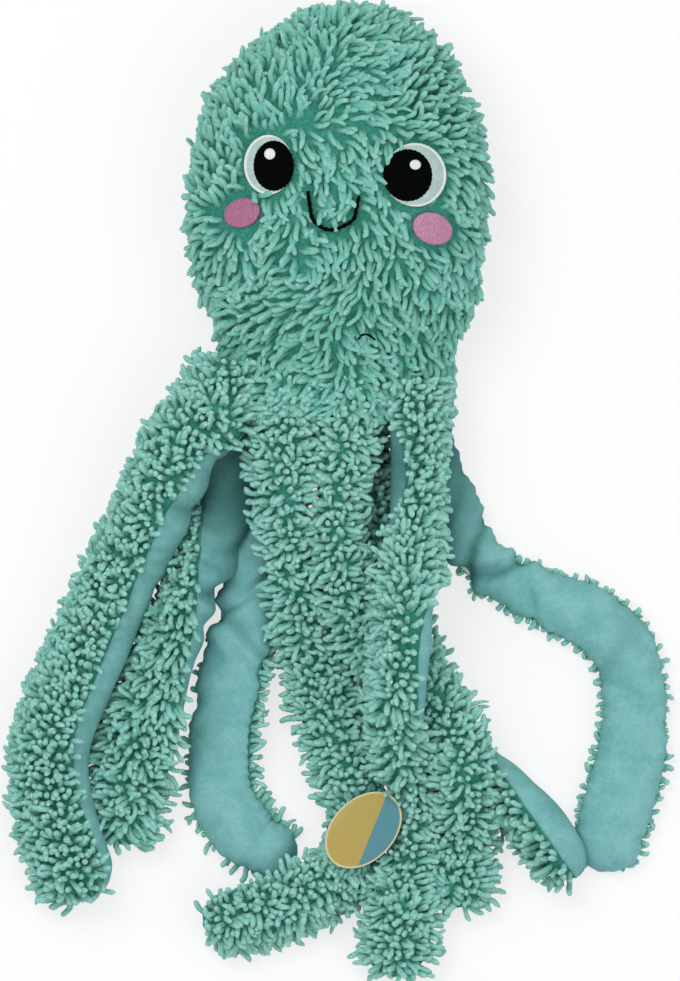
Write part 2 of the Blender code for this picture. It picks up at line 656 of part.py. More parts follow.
def add_tentacle(tentacle):
    """Makes a tentacle, in two lengths where it is held down for part of its way."""
    pivot = hinge_place(tentacle)
    stop = tentacle.break_share
    if stop:
        slit = GAP / tentacle.length
        near_spans = round(tentacle.spans * stop)
        add_length(tentacle.name + "_near", tentacle, 0, stop - slit, near_spans, Vector())
        add_length(tentacle.name + "_far", tentacle, stop, 1, tentacle.spans - near_spans, pivot)
    else:
        add_length(tentacle.name, tentacle, 0, 1, tentacle.spans, pivot)


def add_sticker(tentacle):
    """Makes the oval sticker that lies on the bend of a tentacle."""
    half_share = STICKER_LENGTH / 2 / tentacle.length
    sections = stations(tentacle, STICKER_PLACE_SHARE - half_share, STICKER_PLACE_SHARE + half_share,
                        STICKER_SPANS)
    carrier = sections[len(sections) // 2]
    middle = Vector((carrier.middle.x, carrier.middle.y, max(section.top for section in sections) + GAP))
    turn = Matrix.Rotation(math.radians(STICKER_TURN), 3, "Z")
    rings = []
    for height in (0, STICKER_THICKNESS):
        rings.append([middle + turn @ Vector((STICKER_LENGTH / 2 * math.cos(angle),
                                              STICKER_WIDTH / 2 * math.sin(angle), height))
                      for angle in (math.tau * i / STICKER_SIDES for i in range(STICKER_SIDES))])
    add_piece("sticker", solid(rings), "sticker", hinge_place(tentacle))


def centre_toy():
    """Moves the whole toy so that the origin is on the floor under the middle of its box."""
    bpy.context.view_layer.update()
    pieces = [piece for piece in bpy.context.scene.objects if not piece.hide_render]
    corners = [piece.matrix_world @ Vector(corner) for piece in pieces for corner in piece.bound_box]
    low = [min(corner[axis] for corner in corners) for axis in range(3)]
    high = [max(corner[axis] for corner in corners) for axis in range(3)]
    shift = Vector((-(low[0] + high[0]) / 2, -(low[1] + high[1]) / 2, -low[2]))
    for piece in bpy.context.scene.objects:
        piece.location += shift
    return shift


def main():
    """Builds the toy."""
    for old in list(bpy.data.objects):
        bpy.data.objects.remove(old)
    add_head()
    add_squeaker()
    add_neck()
    add_face()
    for tentacle in TENTACLES:
        add_tentacle(tentacle)
    add_sticker(next(tentacle for tentacle in TENTACLES if tentacle.name == "foot"))
    centre_toy()


main()
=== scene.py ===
"""Plush octopus lying on its back: noodle chenille, velour, embroidered face and a plain paper sticker.

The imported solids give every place. The cloth skins, the noodles of the chenille, the face and the sticker
are modelled here and stand for the plain solids, which stay as they are for collision.
"""

import logging
import math
from dataclasses import dataclass, field
from enum import Enum
from typing import Callable, Iterable, Sequence

import bmesh
import bpy
import numpy as np
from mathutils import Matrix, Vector


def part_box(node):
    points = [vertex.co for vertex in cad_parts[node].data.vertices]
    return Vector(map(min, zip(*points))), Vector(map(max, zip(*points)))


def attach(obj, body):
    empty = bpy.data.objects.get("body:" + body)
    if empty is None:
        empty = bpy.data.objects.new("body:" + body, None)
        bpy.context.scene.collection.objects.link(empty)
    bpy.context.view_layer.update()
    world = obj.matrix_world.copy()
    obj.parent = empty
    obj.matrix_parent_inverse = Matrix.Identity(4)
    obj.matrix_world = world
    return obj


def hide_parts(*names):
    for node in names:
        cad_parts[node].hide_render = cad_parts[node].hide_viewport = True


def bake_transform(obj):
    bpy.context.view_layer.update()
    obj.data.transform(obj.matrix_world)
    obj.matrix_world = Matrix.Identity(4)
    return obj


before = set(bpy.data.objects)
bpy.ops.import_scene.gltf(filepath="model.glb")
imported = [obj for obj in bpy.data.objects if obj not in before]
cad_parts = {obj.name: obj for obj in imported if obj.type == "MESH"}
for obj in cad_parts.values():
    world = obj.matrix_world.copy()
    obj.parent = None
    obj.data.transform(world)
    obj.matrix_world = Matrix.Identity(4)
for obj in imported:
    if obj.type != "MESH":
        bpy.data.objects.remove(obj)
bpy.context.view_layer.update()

LOG = logging.getLogger("octopus")
MM = 0.001
FLOOR_GAP = 0.0003  # lowest that cloth and noodles come to the floor
BACK_GAP = 0.6 * MM  # from the plane of the seams to a panel's flat back
Array = np.ndarray
Colour = tuple[float, float, float]


def srgb(red: int, green: int, blue: int) -> Colour:
    """Turns a colour of 0 to 255 into the linear values that shaders take.

    Args:
        red: The red level.
        green: The green level.
        blue: The blue level.

    Returns:
        The three linear values.
    """
    shares = (level / 255 for level in (red, green, blue))
    return tuple(share / 12.92 if share <= 0.04045 else ((share + 0.055) / 1.055) ** 2.4 for share in shares)


# Shader graphs

class Wire:
    """One output socket, with the sums and products that add Math nodes."""

    def __init__(self, graph: "Graph", socket: bpy.types.NodeSocket) -> None:
        """Holds a socket of a graph."""
        self.graph = graph
        self.socket = socket

    def _math(self, operation: str, first: object, second: object) -> "Wire":
        """Adds a Math node of two values or wires."""
        return self.graph.node("ShaderNodeMath", {"operation": operation}, {0: first, 1: second})

    def __add__(self, other: object) -> "Wire":
        """Adds."""
        return self._math("ADD", self, other)

    __radd__ = __add__

    def __mul__(self, other: object) -> "Wire":
        """Multiplies."""
        return self._math("MULTIPLY", self, other)

    __rmul__ = __mul__

    def step(self, low: float, high: float) -> "Wire":
        """Gives a smooth step from 0 at low to 1 at high."""
        return self.graph.node("ShaderNodeMapRange", {"interpolation_type": "SMOOTHSTEP"},
                               {"Value": self, "From Min": low, "From Max": high})


class Graph:
    """A material's node graph, built with short calls."""

    def __init__(self, name: str) -> None:
        """Makes a new material with a Principled shader.

        Args:
            name: The material's name.
        """
        self.material = bpy.data.materials.new(name)
        self.material.use_nodes = True
        self.nodes = self.material.node_tree.nodes
        self.links = self.material.node_tree.links
        self.shader = self.nodes["Principled BSDF"]

    def node(self, kind: str, settings: dict[str, object] | None = None,
             inputs: dict[object, object] | None = None, output: object = 0) -> Wire:
        """Adds a node, sets it, then fills its sockets.

        Args:
            kind: The node's type name.
            settings: Properties, which are set first.
            inputs: Values or wires by socket name or number.
            output: The socket to give back, by name or number.

        Returns:
            The wire of the chosen output.
        """
        made = self.nodes.new(kind)
        for key, value in (settings or {}).items():
            setattr(made, key, value)
        for key, value in (inputs or {}).items():
            self.put(made.inputs[key], value)
        return Wire(self, made.outputs[output])

    def put(self, socket: bpy.types.NodeSocket, value: object) -> None:
        """Links a wire to a socket, or sets the socket's own value.

        Args:
            socket: The socket to fill.
            value: A wire, a colour without its alpha, or a plain value.
        """
        if isinstance(value, Wire):
            self.links.new(value.socket, socket)
        elif isinstance(value, tuple) and len(value) == 3 and socket.type == "RGBA":
            socket.default_value = (*value, 1.0)
        else:
            socket.default_value = value

    def places(self, scale: tuple[float, float, float] = (1.0, 1.0, 1.0), turn: float = 0.0) -> Wire:
        """Gives object coordinates, scaled and turned about Z."""
        coordinates = self.node("ShaderNodeTexCoord", output="Object")
        return self.node("ShaderNodeMapping", {}, {"Vector": coordinates, "Scale": scale,
                                                   "Rotation": (0.0, 0.0, turn)})

    def attribute(self, name: str) -> Wire:
        """Gives a mesh attribute's value."""
        return self.node("ShaderNodeAttribute", {"attribute_name": name}, output="Fac")

    def noise(self, size: float, detail: float = 2.0, where: Wire | None = None) -> Wire:
        """Gives noise whose features are about the given size in metres."""
        return self.node("ShaderNodeTexNoise", {},
                         {"Vector": where or self.places(), "Scale": 1 / size, "Detail": detail})

    def mix(self, factor: object, first: object, second: object) -> Wire:
        """Mixes two colours, through the Mix node's colour sockets."""
        return self.node("ShaderNodeMix", {"data_type": "RGBA"}, {0: factor, 6: first, 7: second}, 2)

    def bump(self, height: Wire, distance: float, strength: float = 1.0, under: Wire | None = None) -> Wire:
        """Gives a normal that stands for fine relief, over another normal if there is one."""
        inputs = {"Height": height, "Distance": distance, "Strength": strength}
        return self.node("ShaderNodeBump", {}, inputs | ({"Normal": under} if under else {}))

    def finish(self, colour: object, roughness: object, normal: Wire | None = None,
               constants: dict[str, float] | None = None) -> bpy.types.Material:
        """Fills the shader.

        Args:
            colour: The base colour.
            roughness: How rough it is.
            normal: Its fine relief.
            constants: Other sockets that are the same all over.

        Returns:
            The material.
        """
        self.put(self.shader.inputs["Base Color"], colour)
        self.put(self.shader.inputs["Roughness"], roughness)
        if normal:
            self.put(self.shader.inputs["Normal"], normal)
        for key, value in (constants or {}).items():
            self.shader.inputs[key].default_value = value
        return self.material


# Finishes

@dataclass(frozen=True)
class NoodleFinish:
    """Fuzzy chenille noodles of random tone, with painted shade at the roots among them and painted light at the
    tips.

    Fuzz and relief are the size and the depth of the fuzz, and cloud is the size of the cooler patches.
    """

    name: str = "noodle_chenille"
    # root is the painted shade among the noodles, and tip is the painted light on their ends
    root: Colour = srgb(52, 138, 122)
    body: Colour = srgb(130, 208, 190)
    tip: Colour = srgb(174, 236, 225)
    cool: Colour = srgb(130, 212, 204)
    fuzz: float = 0.6 * MM
    relief: float = 0.7 * MM
    cloud: float = 38 * MM
    roughness: float = 0.95

    def build(self) -> bpy.types.Material:
        """Makes the material.

        Returns:
            The new material.
        """
        graph = Graph(self.name)
        reach = graph.attribute("reach")
        tint_and_painted_light = graph.attribute("tint_and_painted_light")
        fuzz = graph.noise(self.fuzz, 3.0)
        cloud = graph.noise(self.cloud, 2.0)
        # painted shade from the dark root up to the body, and painted light at the tip; the per-noodle value adds a
        # random tone and the painted lift that pale gives
        lower = graph.mix(reach.step(0.0, 0.55), self.root, self.body)
        upper = graph.mix(reach.step(0.45, 1.0) * (0.35 + 0.65 * tint_and_painted_light), lower, self.tip)
        shade = graph.mix(fuzz.step(0.38, 0.62) * 0.46, upper, self.root)
        cool = graph.mix(cloud.step(0.40, 0.70) * 0.14, shade, self.cool)
        normal = graph.bump(fuzz, self.relief, 0.8)
        return graph.finish(cool, self.roughness, normal, {"Sheen Weight": 0.25, "Specular IOR Level": 0.2})


@dataclass(frozen=True)
class VelourFinish:
    """Short smooth pile, with the soft mottle that brushed pile has, and painted shade in its shadows and creases.

    Pile, brush and mottle are the sizes of its fine, middle and large patterns, and fleck is how far single
    fibres show the deep colour, which is also the colour of the painted shade.
    """

    name: str
    colour: Colour
    shadow: Colour
    deep: Colour = srgb(64, 120, 116)
    pile: float = 0.5 * MM
    mottle: float = 14 * MM
    fleck: float = 0.3
    brush: float = 3.0 * MM
    roughness: float = 0.9

    def build(self) -> bpy.types.Material:
        """Makes the material.

        Returns:
            The new material.
        """
        graph = Graph(self.name)
        pile = graph.noise(self.pile, 3.0)
        mottle = graph.noise(self.mottle, 3.0)
        brushed = graph.noise(self.brush, 3.0)
        ground = graph.mix(mottle.step(0.36, 0.64) * 0.6 + brushed.step(0.35, 0.7) * 0.3, self.shadow, self.colour)
        # painted shade: the velour darkens to the deep colour where the attribute marks its shadows and creases
        nap = graph.mix(graph.attribute("nap"), ground, self.deep)
        fibre = graph.mix(pile.step(0.40, 0.64) * self.fleck, nap, self.deep)
        normal = graph.bump(pile, 0.25 * MM, 0.7, graph.bump(brushed, 0.5 * MM, 0.5))
        return graph.finish(fibre, self.roughness, normal, {"Specular IOR Level": 0.15})


@dataclass(frozen=True)
class StitchFinish:
    """Satin stitch: fine threads laid side by side, seen as a grain along one direction."""

    name: str
    colour: Colour
    dark: Colour
    thread: float = 0.45 * MM
    turn: float = 0.0
    roughness: float = 0.6
    shine: float = 0.3

    def build(self) -> bpy.types.Material:
        """Makes the material.

        Returns:
            The new material.
        """
        graph = Graph(self.name)
        grain = graph.noise(self.thread, 2.0, graph.places((1.0, 0.2, 1.0), self.turn))
        speck = graph.noise(self.thread * 1.6, 3.0)
        colour = graph.mix(grain.step(0.35, 0.65) * 0.45 + speck.step(0.48, 0.62) * 0.4, self.colour, self.dark)
        normal = graph.bump(grain, 0.3 * MM, 0.8)
        return graph.finish(colour, self.roughness, normal, {"Specular IOR Level": self.shine})


@dataclass(frozen=True)
class PaperFinish:
    """Coated paper in two plain fields with a pale rim."""

    name: str = "sticker_paper"
    warm: Colour = srgb(176, 152, 62)
    cool: Colour = srgb(62, 132, 146)
    rim: Colour = srgb(206, 198, 150)
    bright: Colour = srgb(250, 250, 245)
    grain: float = 0.35 * MM

    def build(self) -> bpy.types.Material:
        """Makes the material from the sticker's own attributes.

        Returns:
            The new material.
        """
        graph = Graph(self.name)
        split = graph.attribute("field").step(0.45, 0.55)
        fields = graph.mix(split, self.warm, self.cool)
        rimmed = graph.mix(graph.attribute("edge").step(0.945, 0.955), fields, self.rim)
        grain = graph.noise(self.grain, 2.0)
        colour = graph.mix(grain.step(0.4, 0.7) * 0.06, rimmed, self.bright)
        normal = graph.bump(grain, 0.02 * MM, 0.4)
        return graph.finish(colour, 0.45 + grain * 0.1, normal, {"Coat Weight": 0.1})


@dataclass(frozen=True)
class FillFinish:
    """What is hidden inside: loose fibre, clear film or soft plastic."""

    name: str
    colour: Colour
    roughness: float
    size: float

    def build(self) -> bpy.types.Material:
        """Makes the material.

        Returns:
            The new material.
        """
        graph = Graph(self.name)
        wisp = graph.noise(self.size, 3.0)
        colour = graph.mix(wisp.step(0.3, 0.7) * 0.25, self.colour, tuple(level * 0.7 for level in self.colour))
        normal = graph.bump(wisp, self.size * 0.4, 0.5)
        return graph.finish(colour, self.roughness, normal)


class Finish(Enum):
    """The toy's finishes."""

    NOODLE = NoodleFinish()
    # chenille_ground is the backing cloth's own teal, darkened as painted shade, since it shows only deep between
    # the noodles
    CLOTH = VelourFinish("chenille_ground", srgb(70, 160, 140), srgb(54, 136, 118), srgb(40, 110, 96),
                         0.9 * MM, 6 * MM, 0.8)
    VELOUR = VelourFinish("brushed_velour_and_painted_shade", srgb(144, 204, 204), srgb(119, 184, 184))
    EYE = VelourFinish("eye_cloth", srgb(192, 214, 210), srgb(174, 200, 195), srgb(150, 180, 175), 0.3 * MM, 5 * MM)
    RIM = StitchFinish("white_satin", srgb(240, 244, 242), srgb(200, 212, 208), 0.4 * MM, 0.6)
    BLACK = StitchFinish("black_satin", srgb(3, 4, 4), srgb(7, 8, 8), 0.4 * MM, 0.3, 0.95, 0.04)
    PINK = StitchFinish("pink_satin", srgb(207, 148, 180), srgb(154, 98, 132), 0.5 * MM, 0.9)
    # painted shade: the same pink thread, darker, for the left cheek, which lies in shade
    ROSE = StitchFinish("pink_satin_shaded", srgb(184, 120, 154), srgb(138, 82, 114), 0.5 * MM, 0.9)
    PAPER = PaperFinish()
    FIBRE = FillFinish("loose_fibre", srgb(235, 234, 228), 1.0, 1.5 * MM)
    FILM = FillFinish("crackling_film", srgb(205, 212, 216), 0.25, 4 * MM)
    PLASTIC = FillFinish("squeaker_plastic", srgb(226, 226, 220), 0.4, 6 * MM)

    def material(self) -> bpy.types.Material:
        """Gives the finish's material, made once."""
        return bpy.data.materials.get(self.value.name) or self.value.build()


# Mesh helpers

def deselect() -> None:
    """Leaves nothing selected, in object mode."""
    if bpy.context.object and bpy.context.object.mode != "OBJECT":
        bpy.ops.object.mode_set(mode="OBJECT")
    bpy.ops.object.select_all(action="DESELECT")


def new_object(name: str, verts: Array, faces: Iterable[Sequence[int]], finish: Finish) -> bpy.types.Object:
    """Makes a smooth mesh object at the origin.

    Args:
        name: The piece's name.
        verts: Points in metres.
        faces: Corner numbers of each face.
        finish: What the piece is made of.

    Returns:
        The new object.
    """
    mesh = bpy.data.meshes.new(name)
    mesh.from_pydata(np.asarray(verts, float).tolist(), [], [list(face) for face in faces])
    mesh.shade_smooth()
    mesh.materials.append(finish.material())
    piece = bpy.data.objects.new(name, mesh)
    bpy.context.scene.collection.objects.link(piece)
    return piece


def set_values(piece: bpy.types.Object, name: str, values: Array) -> None:
    """Stores one value for each point of a mesh."""
    layer = piece.data.attributes.new(name, "FLOAT", "POINT")
    layer.data.foreach_set("value", np.asarray(values, np.float32).ravel())


def outward(piece: bpy.types.Object, merge: float = 0.0) -> None:
    """Turns all faces of a closed piece outwards.

    Args:
        piece: The piece.
        merge: How close points are that are made one first, or 0 to leave them all.
    """
    bm = bmesh.new()
    bm.from_mesh(piece.data)
    if merge:
        bmesh.ops.remove_doubles(bm, verts=bm.verts, dist=merge)
    bmesh.ops.recalc_face_normals(bm, faces=bm.faces)
    if bm.calc_volume(signed=True) < 0:
        bmesh.ops.reverse_faces(bm, faces=bm.faces)
    bm.to_mesh(piece.data)
    bm.free()


def unit(vectors: Array) -> Array:
    """Gives the vectors at length 1."""
    return vectors / np.maximum(np.linalg.norm(vectors, axis=-1, keepdims=True), 1e-12)


def swirled(combs: Array, normals: Array, angle: Array) -> Array:
    """Turns directions about the normals, by angles."""
    return combs * np.cos(angle)[:, None] + np.cross(normals, combs) * np.sin(angle)[:, None]


def hump(values: Array, middle: float, width: float) -> Array:
    """Gives 1 at the middle, falling smoothly to 0 on both sides."""
    return np.exp(-((values - middle) / width) ** 2)


def travel(line: Array) -> Array:
    """Gives how far along a line each of its points lies."""
    return np.concatenate([[0], np.cumsum(np.linalg.norm(np.diff(line, axis=0), axis=1))])


def smooth_rows(rows: Sequence[Sequence[float]], steps: int) -> Array:
    """Gives dense rows along the smooth curve through the given rows.

    Args:
        rows: The rows that the curve goes through.
        steps: New rows for each given one.

    Returns:
        The dense rows, the last given row included.
    """
    table = np.array(rows, float)
    table = np.vstack([2 * table[0] - table[1], table, 2 * table[-1] - table[-2]])
    out = []
    for i in range(1, len(table) - 2):
        a, b, c, d = table[i - 1:i + 3]
        for t in np.arange(steps) / steps:
            out.append(0.5 * (2 * b + (c - a) * t + (2 * a - 5 * b + 4 * c - d) * t * t
                              + (3 * b - a - 3 * c + d) * t ** 3))
    out.append(table[-2])
    return np.array(out)


def wander(places: Array, seed: int, waves: int = 5) -> Array:
    """Gives a smooth random value between about -1 and 1 at each place.

    Args:
        places: The places, in units of the size of the waves.
        seed: Start of the random draws.
        waves: How many waves are added up.

    Returns:
        One value for each place.
    """
    rng = np.random.default_rng(seed)
    total = np.zeros(len(places))
    for _ in range(waves):
        direction = rng.normal(size=places.shape[1])
        total += np.sin(places @ direction + rng.uniform(0, math.tau))
    return total / math.sqrt(waves) / 1.2


def disc(sides: int, insets: Sequence[float]) -> tuple[Array, list[tuple[int, ...]], list[tuple[int, ...]]]:
    """Models a flat disc of radius 1: a circle with inset rings.

    Args:
        sides: Corners of the circle.
        insets: Width of each ring, from the rim inwards.

    Returns:
        The points in plan, the faces and the edges of the rim.
    """
    deselect()
    bpy.ops.mesh.primitive_circle_add(vertices=sides, radius=1.0, fill_type="NGON")
    bpy.ops.object.mode_set(mode="EDIT")
    bpy.ops.mesh.select_all(action="SELECT")
    for inset in insets:
        bpy.ops.mesh.inset(thickness=inset, depth=0)
    bpy.ops.object.mode_set(mode="OBJECT")
    made = bpy.context.object
    flat = np.array([vert.co for vert in made.data.vertices], float)[:, :2]
    outer = np.linalg.norm(flat, axis=1) > 0.999
    faces = [tuple(face.vertices) for face in made.data.polygons]
    rim = [tuple(edge.vertices) for edge in made.data.edges if outer[list(edge.vertices)].all()]
    bpy.data.objects.remove(made)
    return flat, faces, rim


def two_sided(name: str, top: Array, under: Array, faces: list[tuple[int, ...]], rim: list[tuple[int, ...]],
              finish: Finish) -> bpy.types.Object:
    """Makes a thin closed piece from a disc's two sides and the skirt between them.

    Args:
        name: The piece's name.
        top: Points of the top side.
        under: Points of the underside.
        faces: The disc's faces.
        rim: The edges of its rim.
        finish: What the piece is made of.

    Returns:
        The piece.
    """
    count = len(top)
    below = [tuple(i + count for i in reversed(face)) for face in faces]
    skirt = [(a, b, b + count, a + count) for a, b in rim]
    piece = new_object(name, np.vstack([top, under]), faces + below + skirt, finish)
    outward(piece)
    return piece


# Tubes: the stuffed shapes that cloth and noodles lie on

@dataclass
class Tube:
    """A stuffed tube: oval sections along a curved line.

    Sections run from share 0 to share 1. An angle of 0 is at the side, a quarter turn is at the up side.
    """

    middle: Array
    side: Array
    up: Array
    wide: Array
    thick: Array
    relief: Callable[[Array, Array], Array] | None = None

    def at(self, table: Array, share: Array) -> Array:
        """Reads a table of sections at shares between them.

        Args:
            table: One row or value for each section.
            share: Places along the tube.

        Returns:
            The rows or values there.
        """
        place = np.clip(share, 0, 1) * (len(table) - 1)
        low = np.minimum(place.astype(int), len(table) - 2)
        part = place - low
        if table.ndim == 2:
            part = part[..., None]
        return table[low] * (1 - part) + table[low + 1] * part

    def bare(self, share: Array, angle: Array) -> Array:
        """Gives points on the oval itself, with no relief and not cut by the floor.

        Args:
            share: Places along the tube.
            angle: Places around it.

        Returns:
            The points.
        """
        cos, sin = np.cos(angle)[..., None], np.sin(angle)[..., None]
        wide = self.at(self.wide, share)[..., None]
        thick = self.at(self.thick, share)[..., None]
        return (self.at(self.middle, share) + self.at(self.side, share) * wide * cos
                + self.at(self.up, share) * thick * sin)

    def normal(self, share: Array, angle: Array) -> Array:
        """Gives directions square to the oval surface.

        Args:
            share: Places along the tube.
            angle: Places around it.

        Returns:
            The directions, outwards and at length 1.
        """
        step_u, step_a = 0.004, 0.03
        down = self.bare(np.minimum(share + step_u, 1), angle) - self.bare(np.maximum(share - step_u, 0), angle)
        around = self.bare(share, angle + step_a) - self.bare(share, angle - step_a)
        found = np.cross(around, down)
        out = self.bare(share, angle) - self.at(self.middle, share)
        flip = np.sign(np.sum(found * out, axis=-1, keepdims=True))
        return unit(found * np.where(flip == 0, 1, flip))

    def heading(self, share: Array) -> Array:
        """Gives the direction of the line at shares."""
        return unit(self.at(self.middle, np.minimum(share + 0.01, 1))
                    - self.at(self.middle, np.maximum(share - 0.01, 0)))

    def point(self, share: Array, angle: Array) -> Array:
        """Gives points on the surface with its relief, never under the floor.

        Args:
            share: Places along the tube.
            angle: Places around it.

        Returns:
            The points.
        """
        place = self.bare(share, angle)
        if self.relief:
            place = place + self.normal(share, angle) * self.relief(share, angle)[..., None]
        place[..., 2] = np.maximum(place[..., 2], FLOOR_GAP)
        return place

    def length(self) -> float:
        """Gives the length of the line."""
        return float(np.linalg.norm(np.diff(self.middle, axis=0), axis=1).sum())

    def seeds(self, pitch: float, start: float, stop: float, low: float, high: float,
              rng: np.random.Generator) -> tuple[Array, Array]:
        """Spreads tuft places over the surface in jittered rows.

        Args:
            pitch: Distance between neighbours.
            start: First share.
            stop: Last share.
            low: First angle.
            high: Last angle.
            rng: Source of the jitter.

        Returns:
            The shares and the angles of the places.
        """
        jitter_around, jitter_along = 0.16, 0.22
        rows = max(int(self.length() * (stop - start) / pitch), 2)
        shares, angles = [], []
        fine = np.linspace(low, high, 64)
        for row in range(rows):
            share = start + (stop - start) * (row + 0.5) / rows
            run = travel(self.bare(np.full(len(fine), share), fine))
            count = max(int(run[-1] / pitch), 1)
            marks = np.arange(count) + 0.25 + 0.5 * (row % 2) + rng.normal(0, jitter_around, count)
            angles.append(np.interp(marks / count * run[-1], run, fine))
            off = rng.normal(0, jitter_along, count) * pitch / self.length()
            shares.append(np.clip(share + off, start, stop))
        return np.concatenate(shares), np.concatenate(angles)


def tube_panel(tube: Tube, name: str, low: float, high: float, around: int, along: int,
               finish: Finish) -> bpy.types.Object:
    """Makes one closed panel of a tube: its outer skin between two angles, closed by a flat back.

    Args:
        tube: The shape that it lies on.
        name: The piece's name.
        low: First angle.
        high: Last angle.
        around: Faces around.
        along: Faces along.
        finish: What it is made of.

    Returns:
        The panel.
    """
    angle = np.linspace(low, high, around + 1)
    share = np.linspace(0, 1, along + 1)
    shares, angles = np.meshgrid(share, angle, indexing="ij")
    skin = tube.point(shares, angles)
    up = tube.at(tube.up, share)[:, None, :] * np.sign(math.sin((low + high) / 2))
    edge_a, edge_b = skin[:, :1], skin[:, -1:]
    mix = np.linspace(0, 1, 4)[None, 1:-1, None]
    flat = edge_b * (1 - mix) + edge_a * mix + up * BACK_GAP
    flat[..., 2] = np.maximum(flat[..., 2], FLOOR_GAP)
    grid = np.concatenate([skin, flat], axis=1)
    count = grid.shape[1]
    faces = [(i * count + j, i * count + (j + 1) % count, (i + 1) * count + (j + 1) % count, (i + 1) * count + j)
             for i in range(along) for j in range(count)]
    faces += [tuple(range(count)), tuple(along * count + j for j in reversed(range(count)))]
    piece = new_object(name, grid.reshape(-1, 3), faces, finish)
    outward(piece)
    return piece


# Noodles

@dataclass
class Noodle:
    """One chenille noodle, modelled once: a round worm with a blunt tip, 1 long and 1 in radius."""

    sides: int = 6
    girths: tuple[tuple[float, float], ...] = (
        (0.0, 0.84), (0.15, 1.0), (0.30, 0.93), (0.46, 1.04), (0.62, 0.95), (0.78, 1.05), (0.93, 0.84),
        (1.0, 0.42))
    verts: Array = field(init=False)
    faces: list[tuple[int, ...]] = field(init=False)

    def model(self) -> "Noodle":
        """Models the noodle by extruding a ring upwards and closing its tip and its root.

        Stamp lays the noodle down as its mirror image, so its faces are stored turned over here. Each
        keeps its first corner, and with it the way that it splits into triangles.

        Returns:
            The noodle itself, with its points and faces.
        """
        deselect()
        bpy.ops.mesh.primitive_circle_add(vertices=self.sides, radius=1.0, fill_type="NOTHING")
        bpy.ops.object.mode_set(mode="EDIT")
        bpy.ops.mesh.select_all(action="SELECT")
        bpy.ops.transform.resize(value=(self.girths[0][1], self.girths[0][1], 1))
        for (low, thin), (high, girth) in zip(self.girths, self.girths[1:]):
            bpy.ops.mesh.extrude_region_move(TRANSFORM_OT_translate={"value": (0, 0, high - low)})
            bpy.ops.transform.resize(value=(girth / thin, girth / thin, 1))
        bpy.ops.mesh.edge_face_add()
        bpy.ops.mesh.select_all(action="SELECT")
        bpy.ops.mesh.fill_holes(sides=0)
        bpy.ops.mesh.normals_make_consistent(inside=False)
        bpy.ops.object.mode_set(mode="OBJECT")
        made = bpy.context.object
        self.verts = np.array([vert.co for vert in made.data.vertices], float)
        self.faces = sorted((face.vertices[0], *reversed(face.vertices[1:])) for face in made.data.polygons)
        bpy.data.objects.remove(made)
        return self


@dataclass
class Pile:
    """Many noodles set in one cloth: how long and thick they are, and how they curl, wave and swell.

    Sink is how deep they are set in the cloth.
    """

    noodle: Noodle
    pitch: float = 4.05 * MM
    length: float = 11.0 * MM
    radius: float = 1.65 * MM
    spread: float = 0.2
    girth_spread: float = 0.08
    sink: float = 1.2 * MM
    curl: float = 0.22
    wave: float = 0.055
    knob: float = 0.07

    def stamp(self, name: str, roots: Array, normals: Array, combs: Array, lean: Array, droop: Array,
              rng: np.random.Generator, reach: Array | float = 1.0, pale: float = 0.0) -> bpy.types.Object:
        """Copies the noodle to every root.

        Args:
            name: The piece's name.
            roots: Where the noodles start.
            normals: Directions square to the cloth there.
            combs: Directions along the cloth that they lean in.
            lean: Angle from the normal at the root.
            droop: Angle from the normal at the tip.
            rng: Source of the spread in length, girth and curl.
            reach: Length of each noodle as a share of the pile's.
            pale: How far painted light lifts the noodles, the root towards the tip's colour and the random tone
                higher, from 0 to 1.

        Returns:
            One piece with all the noodles.
        """
        count = len(roots)
        combs = unit(combs - normals * np.sum(combs * normals, axis=1, keepdims=True))
        cross = np.cross(normals, combs)
        length = self.length * reach * (1 + rng.normal(0, self.spread, count)).clip(0.55, 1.35)
        radius = self.radius * (1 + rng.normal(0, self.girth_spread, count)).clip(0.8, 1.25)
        curl = rng.normal(0, self.curl, count)
        bend = droop - lean
        bend = np.where(np.abs(bend) < 0.02, 0.02, bend)
        share = self.noodle.verts[:, 2]
        angle = lean[:, None] + bend[:, None] * share
        over = (np.sin(angle) - np.sin(lean)[:, None]) / bend[:, None]
        out = (np.cos(lean)[:, None] - np.cos(angle)) / bend[:, None]
        waves = rng.uniform(4.0, 7.5, count)[:, None] * share + rng.uniform(0, math.tau, count)[:, None]
        aside = curl[:, None] * share * share + self.wave * np.sin(waves) * np.minimum(share * 3, 1)
        path = (normals[:, None, :] * over[..., None] + combs[:, None, :] * out[..., None]
                + cross[:, None, :] * aside[..., None]) * length[:, None, None]
        lift = combs[:, None, :] * np.cos(angle)[..., None] - normals[:, None, :] * np.sin(angle)[..., None]
        knob = 1 + self.knob * np.sin(share[None, :] * 17 + rng.uniform(0, math.tau, count)[:, None])
        wall = (cross[:, None, :] * self.noodle.verts[:, 0][None, :, None]
                + lift * self.noodle.verts[:, 1][None, :, None]) * (radius[:, None] * knob)[..., None]
        core = roots[:, None, :] - normals[:, None, :] * self.sink + path
        core[..., 2] = np.maximum(core[..., 2], radius[:, None] * 0.9 + FLOOR_GAP)
        places = core + wall
        places[..., 2] = np.maximum(places[..., 2], FLOOR_GAP)
        size = len(self.noodle.verts)
        shift = np.arange(count) * size
        corners = np.array([face for face in self.noodle.faces if len(face) == 4])
        faces = (corners[None, :, :] + shift[:, None, None]).reshape(-1, 4).tolist()
        for cap in (face for face in self.noodle.faces if len(face) != 4):
            faces += (np.array(cap)[None, :] + shift[:, None]).tolist()
        piece = new_object(name, places.reshape(-1, 3), faces, Finish.NOODLE)
        # painted light: pale lifts the root colour and the random tone of every noodle
        set_values(piece, "reach", np.tile(pale + (1 - pale) * share, count))
        set_values(piece, "tint_and_painted_light", np.repeat(rng.uniform(0, 1, count) + pale, size))
        return piece


# Head and neck

